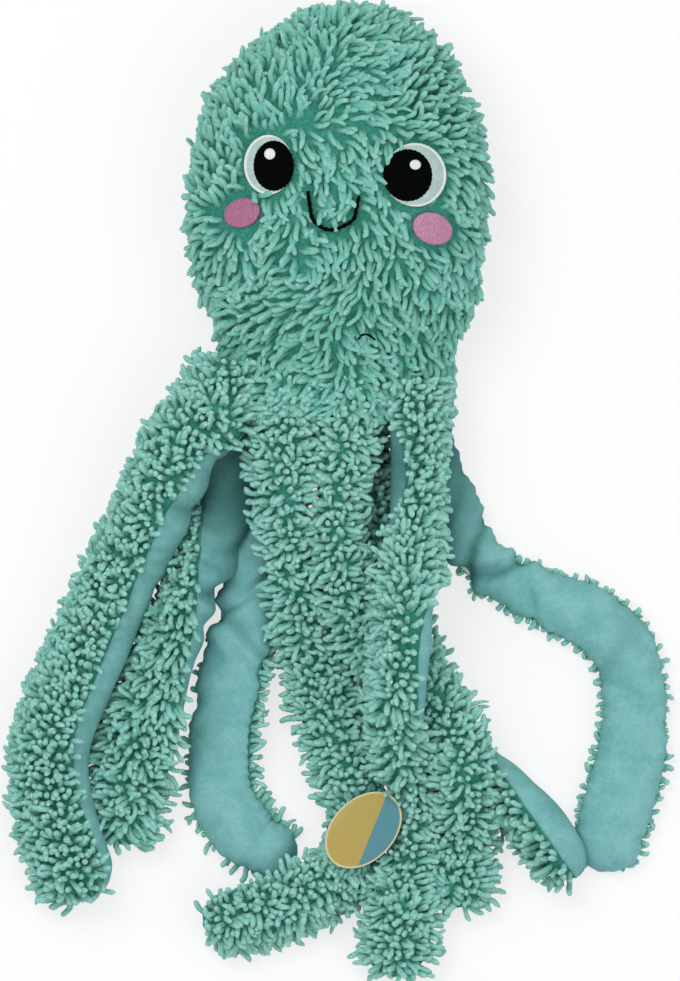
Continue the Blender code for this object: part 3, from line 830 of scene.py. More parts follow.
@dataclass
class Head:
    """The stuffed head and the neck under it, in rows from the top of the head to the ring of tentacles.

    Each row is along as a share of the head's length, half width as a share of the head's, and front and
    back height as shares of its depth. The middle line leans to the right at the crown and a little to the
    left at the brow and the cheeks, and the jaw bulges on the right. Noodles keep out of the ovals in
    keep_clear, and those within push_reach of one point away from it. Noodles rooted under floor_free are
    left out, and those under floor_lift bend up from the floor.
    """

    pile: Pile
    rows: tuple[tuple[float, float, float, float], ...] = (
        (0.000, 0.00, 0.52, 0.52), (0.012, 0.22, 0.66, 0.40), (0.045, 0.405, 0.75, 0.28),
        (0.100, 0.600, 0.83, 0.17), (0.180, 0.765, 0.91, 0.08), (0.280, 0.90, 0.97, 0.02),
        (0.390, 0.98, 1.00, 0.00), (0.500, 1.01, 1.00, 0.00), (0.610, 1.01, 0.99, 0.00),
        (0.720, 0.96, 0.93, 0.00), (0.820, 0.875, 0.83, 0.00), (0.910, 0.80, 0.71, 0.00),
        (1.000, 0.78, 0.61, 0.00), (1.080, 0.91, 0.56, 0.00), (1.115, 0.92, 0.54, 0.00))
    crown: float = 6.0 * MM
    jaw: float = 2.0 * MM
    cheeks: float = 0.8 * MM
    brow: float = 1.4 * MM
    ring_share: float = 0.08
    centre_share: float = 0.47
    comb_size: float = 9.5 * MM
    swirl_size: float = 13 * MM
    floor_free: float = 1.5 * MM
    floor_lift: float = 9 * MM
    push_reach: float = 4.5 * MM
    keep_clear: list[tuple[float, float, float, float]] = field(default_factory=list)
    tube: Tube = field(init=False)

    def __post_init__(self) -> None:
        """Reads the head's place and sizes from the frame and makes its tube."""
        low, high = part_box("head_front_panel")
        ring_low, ring_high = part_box("base_disc")
        self.centre_x = (low.x + high.x) / 2
        self.top_y = high.y
        self.length = high.y - low.y
        self.half_width = (high.x - low.x) / 2
        self.depth = high.z
        drift = (ring_low.x + ring_high.x) / 2 - self.centre_x
        table = smooth_rows(self.rows, 14)
        along = table[:, 0] * self.length
        front, back = table[:, 2] * self.depth, table[:, 3] * self.depth
        shift = (drift * np.clip((table[:, 0] - 1) / self.ring_share, 0, 1)
                 + self.crown * np.clip(1 - table[:, 0] / 0.22, 0, 1))
        bulge = self.jaw * hump(table[:, 0], 0.81, 0.07)
        shift += bulge - self.cheeks * hump(table[:, 0], 0.62, 0.2)
        shift -= self.brow * hump(table[:, 0], 0.24, 0.08)
        middle = np.stack([self.centre_x + shift, self.top_y - along, (front + back) / 2], axis=1)
        ones = np.ones(len(table))
        self.tube = Tube(middle, np.outer(ones, (1, 0, 0)), np.outer(ones, (0, 0, 1)),
                         np.maximum(table[:, 1], 0.001) * self.half_width + bulge,
                         np.maximum((front - back) / 2, 1e-5))

    def on_front(self, x: Array, y: Array, off: Array) -> Array:
        """Gives points that stand off the head's front, square to it, over places in plan.

        Args:
            x: Places across.
            y: Places along.
            off: How far each point stands off.

        Returns:
            The points.
        """
        ys = self.tube.middle[:, 1][::-1]
        share = np.interp(y, ys, np.linspace(1, 0, len(ys)))
        middle = self.tube.at(self.tube.middle, share)
        wide = self.tube.at(self.tube.wide, share)
        angle = np.arccos(np.clip((x - middle[..., 0]) / wide, -1, 1))
        return self.tube.bare(share, angle) + self.tube.normal(share, angle) * off[..., None]

    def build(self) -> list[bpy.types.Object]:
        """Makes the panels and the noodles on them.

        Returns:
            The new pieces.
        """
        front = tube_panel(self.tube, "head_front_cloth", 0, math.pi, 48, 96, Finish.CLOTH)
        back = tube_panel(self.tube, "head_back_cloth", math.pi, math.tau, 48, 96, Finish.CLOTH)
        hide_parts("head_front_panel", "neck_cover")
        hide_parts("head_back_panel")
        made = [front, back]
        for piece in made:
            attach(piece, "root")
        rng = np.random.default_rng(11)
        share, angle = self.tube.seeds(self.pile.pitch, 0.006, 0.985, 0, math.tau, rng)
        for name, part in (("head_front_noodles", angle < math.pi), ("head_back_noodles", angle >= math.pi)):
            piece = self.grow(name, share[part], angle[part], rng)
            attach(piece, "root")
            made.append(piece)
        return made

    def combed(self, roots: Array) -> tuple[Array, Array]:
        """Reads the comb table at places on the face.

        Args:
            roots: The places.

        Returns:
            Directions in plan that the noodles point in, and how far they lean.
        """
        table = np.array(COMB)
        marks = np.column_stack([self.centre_x + table[:, 0] * self.half_width,
                                 self.top_y - table[:, 1] * self.length])
        turn = np.radians(table[:, 2])
        off = ((roots[:, None, :2] - marks[None]) ** 2).sum(axis=2)
        weight = np.exp(-(off - off.min(axis=1, keepdims=True)) / (2 * self.comb_size ** 2))
        weight /= weight.sum(axis=1, keepdims=True)
        comb = np.column_stack([weight @ np.cos(turn), weight @ np.sin(turn), np.zeros(len(roots))])
        return unit(comb), weight @ table[:, 3]

    def grow(self, name: str, share: Array, angle: Array, rng: np.random.Generator) -> bpy.types.Object:
        """Sets noodles at places of the tube, combed by the table in front and outwards behind.

        Args:
            name: The piece's name.
            share: Places along the tube.
            angle: Places around it.
            rng: Source of the spread.

        Returns:
            The noodles, as one piece.
        """
        roots = self.tube.point(share, angle)
        normals = self.tube.normal(share, angle)
        keep = roots[:, 2] > self.floor_free
        front = np.clip(normals[:, 2] * 3 + 0.9, 0, 1)[:, None]
        centre = np.array([self.centre_x, self.top_y - self.centre_share * self.length, 0.0])
        radial = roots - centre
        radial[:, 2] = 0
        comb, lean = self.combed(roots)
        comb = unit(comb * front + unit(radial) * (1 - front))
        comb[:, 2] -= 0.25 * (1 - np.clip(normals[:, 2], 0, 1))
        swirl = wander(roots / self.swirl_size, 5) * 0.3 + rng.normal(0, 0.30, len(roots))
        ring = np.clip(((self.top_y - roots[:, 1]) / self.length - 1) / 0.06, 0, 1)
        reach = 1 - 0.5 * ring * (1 - np.clip(normals[:, 2], 0, 1))
        for x, y, half_x, half_y in self.keep_clear:
            offset = (roots[:, :2] - (x, y)) / (half_x, half_y)
            away = np.linalg.norm(offset, axis=1)
            facing = normals[:, 2] > 0
            keep &= ~((away < 1.0) & facing)
            near = np.clip(1 - (away - 1) * half_x / self.push_reach, 0, 1) * facing
            push = unit(np.column_stack([offset, np.zeros(len(offset))]))
            inward = np.clip(-np.sum(comb * push, axis=1) + 0.25, 0, 1)
            comb = unit(comb + push * (near * inward * 2.6)[:, None])
            swirl = swirl * (1 - near * 0.7)
            reach *= 1 - 0.3 * near * inward
        turned = swirled(comb, normals, swirl)
        lean = lean + rng.normal(0, 0.16, len(roots))
        droop = np.clip(lean + 0.55 + rng.normal(0, 0.22, len(roots)), 0.2, 1.68)
        low = np.clip(1 - roots[:, 2] / self.floor_lift, 0, 1) * (normals[:, 2] < 0)
        turned[:, 2] += low * 1.2
        return self.pile.stamp(name, roots[keep], normals[keep], turned[keep], lean[keep], droop[keep], rng,
                               reach[keep])


# How the noodles of the face are combed: across as a share of the head's half width, along as a share of its
# length, the direction in degrees from the right side, and the lean
COMB = (
    (-0.19, -0.01, 122, 0.75), (0.03, -0.01, 100, 0.55), (0.26, -0.01, 78, 0.70), (0.51, 0.02, 58, 0.60),
    (0.73, 0.10, 35, 0.45), (0.87, 0.23, 10, 0.50), (0.91, 0.40, 338, 0.70), (0.91, 0.55, 315, 0.90),
    (0.84, 0.71, 298, 0.95), (0.75, 0.87, 292, 0.95), (-0.50, 0.04, 128, 0.85), (-0.74, 0.12, 132, 0.85),
    (-0.92, 0.22, 140, 0.90), (-1.01, 0.34, 158, 0.95), (-1.07, 0.46, 178, 0.95), (-1.01, 0.59, 200, 0.90),
    (-0.93, 0.70, 222, 0.90), (-0.87, 0.85, 222, 0.90), (-0.63, 0.68, 322, 0.95), (-0.42, 0.64, 182, 1.00),
    (-0.19, 0.64, 356, 1.00), (-0.58, 0.79, 196, 1.00), (-0.25, 0.79, 190, 1.00), (-0.03, 0.70, 268, 0.90),
    (0.05, 0.79, 184, 0.95), (0.29, 0.69, 272, 0.90), (0.49, 0.72, 284, 0.95), (0.49, 0.85, 289, 1.00),
    (-0.31, 0.88, 205, 0.95), (0.16, 0.84, 318, 0.90), (-0.46, 0.52, 282, 1.00), (-0.30, 0.50, 285, 1.05),
    (-0.09, 0.49, 292, 1.00), (-0.01, 0.56, 262, 0.80), (0.26, 0.55, 303, 1.00), (0.40, 0.56, 300, 0.95),
    (-0.23, 0.39, 280, 1.00), (-0.09, 0.36, 276, 1.00), (0.13, 0.40, 292, 1.00), (0.27, 0.40, 290, 0.90),
    (-0.12, 0.26, 98, 0.95), (0.01, 0.29, 38, 1.00), (0.16, 0.25, 285, 0.95), (0.27, 0.29, 300, 0.95),
    (0.40, 0.25, 62, 0.50), (0.03, 0.21, 18, 1.05), (0.22, 0.20, 335, 0.95), (-0.08, 0.12, 112, 0.95),
    (0.10, 0.10, 345, 1.05), (0.30, 0.10, 20, 0.80), (-0.27, 0.20, 100, 0.95), (-0.42, 0.16, 104, 0.95),
    (-0.60, 0.18, 102, 0.95), (-0.46, 0.25, 98, 0.95), (-0.73, 0.31, 112, 0.90), (-0.80, 0.40, 130, 0.90),
    (-0.82, 0.49, 100, 0.70), (0.60, 0.25, 40, 0.20), (0.73, 0.31, 0, 0.22), (0.54, 0.16, 45, 0.30),
    (0.45, 0.07, 60, 0.50), (0.73, 0.20, 25, 0.30), (-0.09, 0.03, 118, 0.80), (0.13, 0.03, 62, 0.70),
)


# Tentacles

class Held(Enum):
    """How a tentacle leaves the ring."""

    FREE = "free"
    PINNED = "pinned"


@dataclass
class Tentacle:
    """One tentacle: its sizes and the route that it lies along.

    Each row of the route is across and along as shares of the length, lift as a share of the height of
    the front places, width as a share of the full width, and roll in degrees: 0 has the chenille on top
    and 180 the velour. Creases are share, width, depth and skew. The list of painted shades gives share,
    width, darkness and skew of each place where shade is painted on the velour, in the shadow of another
    tentacle and in its creases. Bare stretches are side, first and last share of edges with no noodles,
    and how wide they are in radians. Comb is how far the noodles point to the tip, or to the root if under
    0. Edge is the noodles' length where the velour is on top. Upright is how much straighter they stand
    where they face up. Pale is painted light: how far their roots have the colour of the tips, and how
    much lighter their random tone is, where they would look too dark between their neighbours.
    slow waves of the velour. The first sections, as many as lead says, turn into the ring. Floor_free and
    floor_lift are as for the head.
    """

    name: str
    place: int
    length: float
    width: float
    thickness: float
    rows: tuple[tuple[float, float, float, float, float], ...]
    break_share: float = 0.0
    creases: tuple[tuple[float, float, float, float], ...] = ()
    painted_shades: tuple[tuple[float, float, float, float], ...] = ()
    bare: tuple[tuple[int, float, float, float], ...] = ()
    seed: int = 0
    comb: float = -0.1
    lean: float = 0.3
    droop: float = 1.0
    reach: float = 0.80
    edge: float = 0.62
    upright: float = 0.65
    # painted light: how much lighter the noodles are painted where they would look too dark between their
    # neighbours
    pale: float = 0.45
    front_height: float = 44 * MM
    pitch: float = 35 * MM
    sections: int = 200
    lead: int = 6
    row_steps: int = 24
    pucker: float = 0.5 * MM
    pucker_pitch: float = 7 * MM
    softness: float = 0.7 * MM
    swirl_size: float = 14 * MM
    floor_free: float = 1.2 * MM
    floor_lift: float = 8 * MM
    tube: Tube = field(init=False)
    roll: Array = field(init=False)

    @property
    def held(self) -> Held:
        """Says whether the tentacle is pinned for part of its way."""
        return Held.PINNED if self.break_share else Held.FREE

    def __post_init__(self) -> None:
        """Makes the tube along the route, from inside the ring to the tip."""
        low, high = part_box("base_disc")
        root = np.array([(low.x + high.x) / 2 + (self.place - 1.5) * self.pitch, low.y, 0.0])
        table = smooth_rows(self.rows, self.row_steps)
        run = travel(table[:, :2] * self.length)
        even = np.linspace(0, run[-1], self.sections)
        table = np.column_stack([np.interp(even, run, column) for column in table.T])
        place = root + np.column_stack([table[:, :2] * self.length, table[:, 2] * self.front_height])
        heading = unit(np.gradient(place, axis=0))
        turn_in = np.linspace(0, 1, self.lead)[:, None]
        heading[:self.lead] = unit(heading[:self.lead] * turn_in + np.array([0, -1.0, 0]))
        side = unit(np.cross(heading, (0, 0, 1.0)))
        upright = np.cross(side, heading)
        self.roll = table[:, 4]
        roll = np.radians(table[:, 4])[:, None]
        across = side * np.cos(roll) - upright * np.sin(roll)
        up = upright * np.cos(roll) + side * np.sin(roll)
        wide = table[:, 3] * self.width / 2
        thick = self.thickness / 2 * (0.4 + 0.6 * np.minimum(table[:, 3], 1))
        tip = wide[-1] / run[-1]
        beyond = np.clip((even / run[-1] - 1 + tip) / tip, 0, 1)
        round_off = np.sqrt(np.maximum(1 - beyond ** 2, 0.0025))
        wide, thick = wide * round_off, thick * np.maximum(round_off, 0.12)
        reach = np.hypot(wide * across[:, 2], thick * up[:, 2])
        place[:, 2] = np.maximum(place[:, 2], reach + FLOOR_GAP)
        self.tube = Tube(place, across, up, wide, thick, self.relief)

    def relief(self, share: Array, angle: Array) -> Array:
        """Gives how far the cloth stands out: puckers at the seams and the creases at its bends.

        Args:
            share: Places along the tube.
            angle: Places around it.

        Returns:
            The heights, under 0 where the cloth dips.
        """
        out = np.zeros(np.broadcast(share, angle).shape)
        lower = np.clip(1 - np.sin(angle) / 0.5, 0, 1)
        seam = hump(np.abs(np.cos(angle)), 1, 0.18)
        pucker = np.sin(share * self.length / self.pucker_pitch * math.tau + 2.5 * np.sin(share * 23 + self.seed))
        out += pucker * seam * self.pucker
        soft = np.sin(share * 31 + 2 * np.cos(angle) + self.seed) * np.sin(share * 13 + 3 * np.cos(angle))
        out += soft * lower * self.softness
        for where, width, depth, skew in self.creases:
            line = (share - where + skew * np.cos(angle)) / width
            out -= depth * hump(line, 0, 1) * lower
            out += 0.55 * depth * (hump(line, 2, 1.1) + hump(line, -2, 1.1)) * lower
        return out

    def nap(self, piece: bpy.types.Object) -> Array:
        """Gives how much painted shade darkens the velour at each point of a panel.

        Args:
            piece: The panel.

        Returns:
            One value for each point, from 0 to 1.
        """
        places = np.array([vert.co for vert in piece.data.vertices], float)
        off = np.linalg.norm(places[:, None, :2] - self.tube.middle[None, :, :2], axis=2)
        near = off.argmin(axis=1)
        share = near / (len(self.tube.middle) - 1)
        aside = np.sum((places - self.tube.middle[near]) * self.tube.side[near], axis=1) / self.tube.wide[near]
        dark = sum((depth * hump(share + skew * aside, where, width)
                    for where, width, depth, skew in self.painted_shades), np.zeros(len(share)))
        return np.clip(dark, 0, 1)

    def bind(self, piece: bpy.types.Object) -> None:
        """Bakes a piece's place into its points; the ends of the joint are found but the piece is not bent.

        Args:
            piece: The piece.
        """
        fold = (-0.025, 0.025) if self.held is Held.PINNED else (0.015, 0.1)
        start, end = self.tube.at(self.tube.middle, self.break_share + np.array(fold))
        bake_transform(piece)

    def solids(self, cloth: str) -> list[str]:
        """Gives the names of the frame's solids of one cloth."""
        if self.held is Held.PINNED:
            return [f"{self.name}_near_{cloth}", f"{self.name}_far_{cloth}"]
        return [f"{self.name}_{cloth}"]

    def build(self, pile: Pile) -> list[bpy.types.Object]:
        """Makes the two panels and the noodles. The frame's own film stays between them.

        Args:
            pile: The noodles to set in the chenille.

        Returns:
            The new pieces.
        """
        velour = tube_panel(self.tube, f"{self.name}_velour_cloth", math.pi, math.tau, 26, 220, Finish.VELOUR)
        chenille = tube_panel(self.tube, f"{self.name}_chenille_cloth", 0, math.pi, 20, 130, Finish.CLOTH)
        noodles = self.grow(pile)
        # painted shade on the velour, where it lies in other tentacles' shadows and in its creases
        set_values(velour, "nap", self.nap(velour))
        for piece, slot in ((velour, "velour"), (chenille, "chenille"), (noodles, "chenille")):
            self.bind(piece)
        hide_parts(*self.solids("velour"))
        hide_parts(*self.solids("chenille"))
        return [velour, chenille, noodles]

    def grow(self, pile: Pile) -> bpy.types.Object:
        """Sets noodles in the chenille panel, combed to the sides, to the tip and away from the sticker.

        Args:
            pile: The noodles.

        Returns:
            The noodles, as one piece.
        """
        rng = np.random.default_rng(100 + self.seed)
        tube = self.tube
        share, angle = tube.seeds(pile.pitch * 0.88, 0.0, 0.994, 0.10, math.pi - 0.10, rng)
        roots = tube.point(share, angle)
        normals = tube.normal(share, angle)
        heading = tube.heading(share)
        outwards = tube.at(tube.side, share) * np.cos(angle)[:, None]
        flank = np.abs(np.cos(angle))
        comb = heading * self.comb + outwards * 1.2 + np.array([0, 0, -0.25]) * (1 - np.abs(normals[:, 2:3]))
        facing = np.clip(normals[:, 2], 0, 1) ** 2
        swirl = wander(roots / self.swirl_size, 7 + self.seed) * 1.2 * (1 - flank)
        swirl += rng.normal(0, 1, len(roots)) * (0.45 + 1.3 * (1 - flank) ** 2)
        turned = swirled(comb, normals, swirl)
        low = np.clip(1 - roots[:, 2] / self.floor_lift, 0, 1) * (normals[:, 2] < 0.2)
        turned[:, 2] += low * 0.8
        roll = np.abs(tube.at(self.roll, share))
        turned_over = np.clip((roll - 110) / 50, 0, 1)
        seam = 0.30 * turned_over
        keep = (roots[:, 2] > self.floor_free) & (angle > seam) & (angle < math.pi - seam)
        for edge, first, last, wide in self.bare:
            from_edge = angle if edge > 0 else math.pi - angle
            keep &= ~((from_edge < wide) & (share >= first) & (share <= last))
        stand = 1 - self.upright * facing
        lean = self.lean * stand + rng.normal(0, 0.2, len(roots))
        droop = self.droop * stand + rng.normal(0, 0.32, len(roots))
        reach = (self.reach + 0.12 * flank) * (1 - (1 - self.edge) * turned_over)
        under = Sticker.covers(roots, Sticker.press) * (normals[:, 2] > 0)
        around = Sticker.covers(roots, Sticker.clear)[:, None]
        away = (roots - Sticker.centre) * (1, 1, 0)
        turned = unit(turned) * (1 - around) + unit(away) * around
        lean, droop = lean * (1 - under) + 1.25 * under, droop * (1 - under) + 1.6 * under
        reach *= 1 - 0.5 * under
        return pile.stamp(f"{self.name}_noodles", roots[keep], normals[keep], turned[keep], lean[keep],
                          droop[keep], rng, reach[keep], self.pale)


# Each tentacle's list of darker velour places is painted shade, in the shadow of other tentacles and in creases,
# and pale is painted light on its noodles.
TENTACLES = (
    Tentacle("left_outer", 0, 0.304, 0.044, 0.038, (
        (0.000, 0.088, 0.95, 0.62, 0), (-0.026, -0.014, 1.00, 0.92, 18),
        (-0.073, -0.060, 1.00, 0.94, 54), (-0.127, -0.178, 0.85, 1.02, 76),
        (-0.196, -0.320, 0.50, 1.02, 70), (-0.258, -0.463, 0.15, 1.04, 70),
        (-0.316, -0.601, 0.00, 1.06, 64), (-0.318, -0.721, 0.00, 1.04, 56),
        (-0.286, -0.835, 0.00, 1.00, 48), (-0.258, -0.909, 0.00, 0.92, 40)),
        creases=((0.25, 0.02, 2.2 * MM, 0.03), (0.42, 0.02, 1.2 * MM, -0.03)),
        painted_shades=((0.10, 0.05, 0.6, 0.0), (0.25, 0.018, 0.45, 0.02)), seed=1,
        comb=-0.9, lean=0.35, upright=0.75),
    Tentacle("left_inner", 0, 0.249, 0.038, 0.026, (
        (0.000, 0.050, 0.00, 0.70, 180), (0.006, -0.071, 0.00, 0.72, 172),
        (0.000, -0.206, 0.00, 0.82, 150), (-0.033, -0.318, 0.00, 0.96, 118),
        (-0.088, -0.431, 0.00, 1.12, 78), (-0.138, -0.566, 0.00, 1.06, 58),
        (-0.192, -0.723, 0.00, 1.20, 34), (-0.225, -0.850, 0.00, 1.02, 16),
        (-0.246, -0.985, 0.00, 0.78, 0)),
        0.44, ((0.34, 0.02, 2.2 * MM, 0.03), (0.42, 0.018, 3.0 * MM, 0.02), (0.52, 0.02, 1.8 * MM, -0.03)),
        ((0.24, 0.10, 0.85, 0.0), (0.42, 0.014, 0.5, 0.02)), seed=2, comb=0.3, reach=0.88, lean=0.5, droop=1.2,
        upright=0.5),
    Tentacle("left_hook", 1, 0.273, 0.036, 0.019, (
        (0.000, 0.050, 0.00, 0.86, 180), (-0.014, -0.065, 0.00, 0.80, 180),
        (-0.045, -0.188, 0.00, 0.68, 182), (-0.075, -0.296, 0.00, 0.66, 186),
        (-0.092, -0.401, 0.00, 0.84, 194), (-0.108, -0.485, 0.00, 0.98, 204),
        (-0.132, -0.577, 0.00, 1.06, 210), (-0.146, -0.680, 0.00, 1.05, 210),
        (-0.146, -0.778, 0.00, 1.01, 198), (-0.112, -0.854, 0.00, 0.98, 188),
        (-0.066, -0.898, 0.00, 0.92, 180), (0.010, -0.922, 0.00, 0.72, 180)),
        0.52, ((0.42, 0.016, 2.6 * MM, 0.05), (0.50, 0.016, 2.6 * MM, -0.04), (0.60, 0.02, 1.8 * MM, 0.04),
        (0.93, 0.02, 1.4 * MM, 0.0)), ((0.16, 0.07, 0.6, 0.0), (0.47, 0.016, 0.4, -0.05)),
        ((-1, 0.0, 0.50, 1.0),), seed=3, edge=0.88),
    Tentacle("foot", 1, 0.345, 0.034, 0.023, (
        (0.000, 0.050, 1.00, 0.94, 0), (-0.009, -0.051, 1.00, 0.90, 10),
        (-0.011, -0.149, 1.00, 0.80, 10), (0.000, -0.246, 0.76, 0.74, 5),
        (0.021, -0.343, 0.42, 0.92, 0), (0.050, -0.441, 0.10, 1.02, 0), (0.073, -0.522, 0.00, 1.02, -3),
        (0.098, -0.603, 0.00, 0.98, -6), (0.108, -0.663, 0.00, 0.98, -10),
        (0.095, -0.722, 0.00, 1.00, -20), (0.059, -0.767, 0.00, 1.05, -30),
        (0.007, -0.799, 0.00, 1.05, -35), (-0.060, -0.821, 0.00, 1.05, -35),
        (-0.144, -0.842, 0.00, 0.97, -32)),
        seed=4, comb=-0.2, pale=0.66),
    Tentacle("front_middle", 2, 0.296, 0.033, 0.022, (
        (0.000, 0.050, 1.00, 0.95, 0), (-0.016, -0.060, 1.00, 0.86, 0), (-0.029, -0.173, 1.00, 0.70, 0),
        (-0.029, -0.258, 1.00, 0.68, 0), (-0.012, -0.343, 0.90, 0.70, 0),
        (0.022, -0.419, 0.74, 0.90, 0), (0.082, -0.480, 0.72, 0.97, 0), (0.143, -0.551, 0.76, 0.96, 0),
        (0.196, -0.637, 0.80, 0.80, 0), (0.210, -0.693, 0.80, 0.80, 0), (0.212, -0.741, 0.64, 0.82, 0),
        (0.206, -0.822, 0.28, 0.94, 0), (0.194, -0.948, 0.00, 1.00, 0)),
        0.75, seed=5, comb=-0.4, pale=0.66),
    Tentacle("front_right", 3, 0.323, 0.032, 0.026, (
        (-0.006, 0.050, 1.00, 0.92, -20), (-0.002, -0.055, 1.00, 0.98, -62),
        (-0.004, -0.141, 1.00, 0.96, -72), (-0.008, -0.228, 1.12, 0.92, -40),
        (-0.013, -0.315, 1.44, 0.92, 20), (-0.016, -0.401, 1.66, 0.98, 60),
        (-0.023, -0.488, 1.54, 0.98, 54), (-0.029, -0.557, 1.14, 0.88, 18),
        (-0.015, -0.623, 0.66, 0.80, 0), (-0.001, -0.687, 0.34, 0.76, 0),
        (-0.005, -0.774, 0.28, 0.84, 0), (-0.019, -0.861, 0.05, 1.08, 0),
        (-0.042, -0.990, 0.00, 1.06, 0)),
        painted_shades=((0.14, 0.08, 0.8, 0.0),), bare=((-1, 0.36, 0.62, 0.20),), seed=6, pale=0.55),
    Tentacle("right_loop", 3, 0.314, 0.036, 0.020, (
        (0.004, 0.050, 0.00, 0.95, 180), (0.012, -0.056, 0.00, 0.95, 180),
        (0.060, -0.160, 0.00, 0.82, 180), (0.105, -0.252, 0.00, 0.73, 180),
        (0.150, -0.299, 0.00, 0.74, 180), (0.211, -0.331, 0.00, 0.80, 180),
        (0.284, -0.362, 0.00, 0.94, 180), (0.357, -0.408, 0.00, 1.00, 180),
        (0.390, -0.502, 0.00, 0.95, 180), (0.389, -0.591, 0.00, 1.03, 180),
        (0.372, -0.680, 0.00, 1.10, 180), (0.332, -0.828, 0.00, 0.98, 180)),
        0.0, ((0.22, 0.014, 1.8 * MM, 0.04), (0.30, 0.012, 2.6 * MM, 0.03), (0.355, 0.014, 3.0 * MM, -0.03),
        (0.42, 0.014, 2.0 * MM, 0.03), (0.60, 0.02, 1.6 * MM, 0.03), (0.70, 0.015, 1.2 * MM, -0.04),
        (0.95, 0.02, 1.2 * MM, 0.02)),
        ((0.15, 0.12, 0.9, 0.04), (0.305, 0.010, 0.60, 0.03), (0.36, 0.013, 0.65, -0.03), (0.61, 0.02, 0.30, 0.03)),
        ((1, 0.0, 0.36, 1.0),), seed=7),
    Tentacle("right_under", 2, 0.291, 0.031, 0.026, (
        (0.000, 0.050, 0.00, 0.70, 0), (0.024, -0.080, 0.00, 0.80, 0), (0.049, -0.215, 0.00, 0.80, 0),
        (0.075, -0.349, 0.00, 0.68, 0), (0.120, -0.474, 0.00, 0.62, 5), (0.166, -0.580, 0.00, 0.64, 10),
        (0.208, -0.650, 0.00, 0.70, 22), (0.253, -0.698, 0.00, 0.92, 58),
        (0.316, -0.750, 0.00, 1.08, 88), (0.376, -0.816, 0.00, 1.16, 98),
        (0.432, -0.906, 0.00, 1.10, 94)),
        0.84, seed=8, comb=-0.5, reach=0.95, droop=0.85),
)


# Face

CHEEK_HALF_SIZES = (10.8 * MM, 8.4 * MM)  # along and across the cheeks, which lie turned


class Layer(Enum):
    """How far each embroidered layer stands off the head."""

    CLOTH = 1.6 * MM
    PUPIL = 2.6 * MM
    GLINT = 3.4 * MM


@dataclass
class Patch:
    """One embroidered oval on the head: a domed disc with a ragged rim."""

    name: str
    node: str
    layer: Layer
    finish: Finish
    slot: str
    shift: tuple[float, float] = (0.0, 0.0)
    grow: tuple[float, float] = (0.0, 0.0)
    turn: float = 0.0
    height: float = 1.2 * MM
    depth: float = 0.9 * MM
    sides: int = 96
    insets: tuple[float, ...] = (0.03, 0.06, 0.10, 0.14, 0.17, 0.17, 0.15)

    def extents(self) -> tuple[float, float, float, float]:
        """Gives the middle and the half sizes in plan, from the frame's own patch."""
        low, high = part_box(self.node)
        return ((low.x + high.x) / 2 + self.shift[0], (low.y + high.y) / 2 + self.shift[1],
                (high.x - low.x) / 2 + self.grow[0], (high.y - low.y) / 2 + self.grow[1])

    def build(self, head: Head) -> bpy.types.Object:
        """Domes a disc and lays it on the head.

        Args:
            head: The head that carries it.

        Returns:
            The patch.
        """
        flat, faces, edges = disc(self.sides, self.insets)
        radius = np.linalg.norm(flat, axis=1)
        spin = np.arctan2(flat[:, 1], flat[:, 0])
        dome = self.height * np.sqrt(np.clip(1 - radius ** 4, 0, 1))
        ragged = 1 + 0.012 * np.sin(spin * 31) * (radius > 0.9) + 0.008 * np.sin(spin * 47 + 1)
        x, y, half_x, half_y = self.extents()
        if self.turn:
            half_x, half_y = (size + more for size, more in zip(CHEEK_HALF_SIZES, self.grow))
        u, v = flat[:, 0] * ragged * half_x, flat[:, 1] * ragged * half_y
        turn = math.radians(self.turn)
        px, py = x + u * math.cos(turn) - v * math.sin(turn), y + u * math.sin(turn) + v * math.cos(turn)
        base = self.layer.value
        top = head.on_front(px, py, base + dome)
        under = head.on_front(px, py, np.full(len(px), base - self.depth))
        piece = two_sided(self.name, top, under, faces, edges, self.finish)
        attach(piece, "root")
        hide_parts(self.node)
        return piece


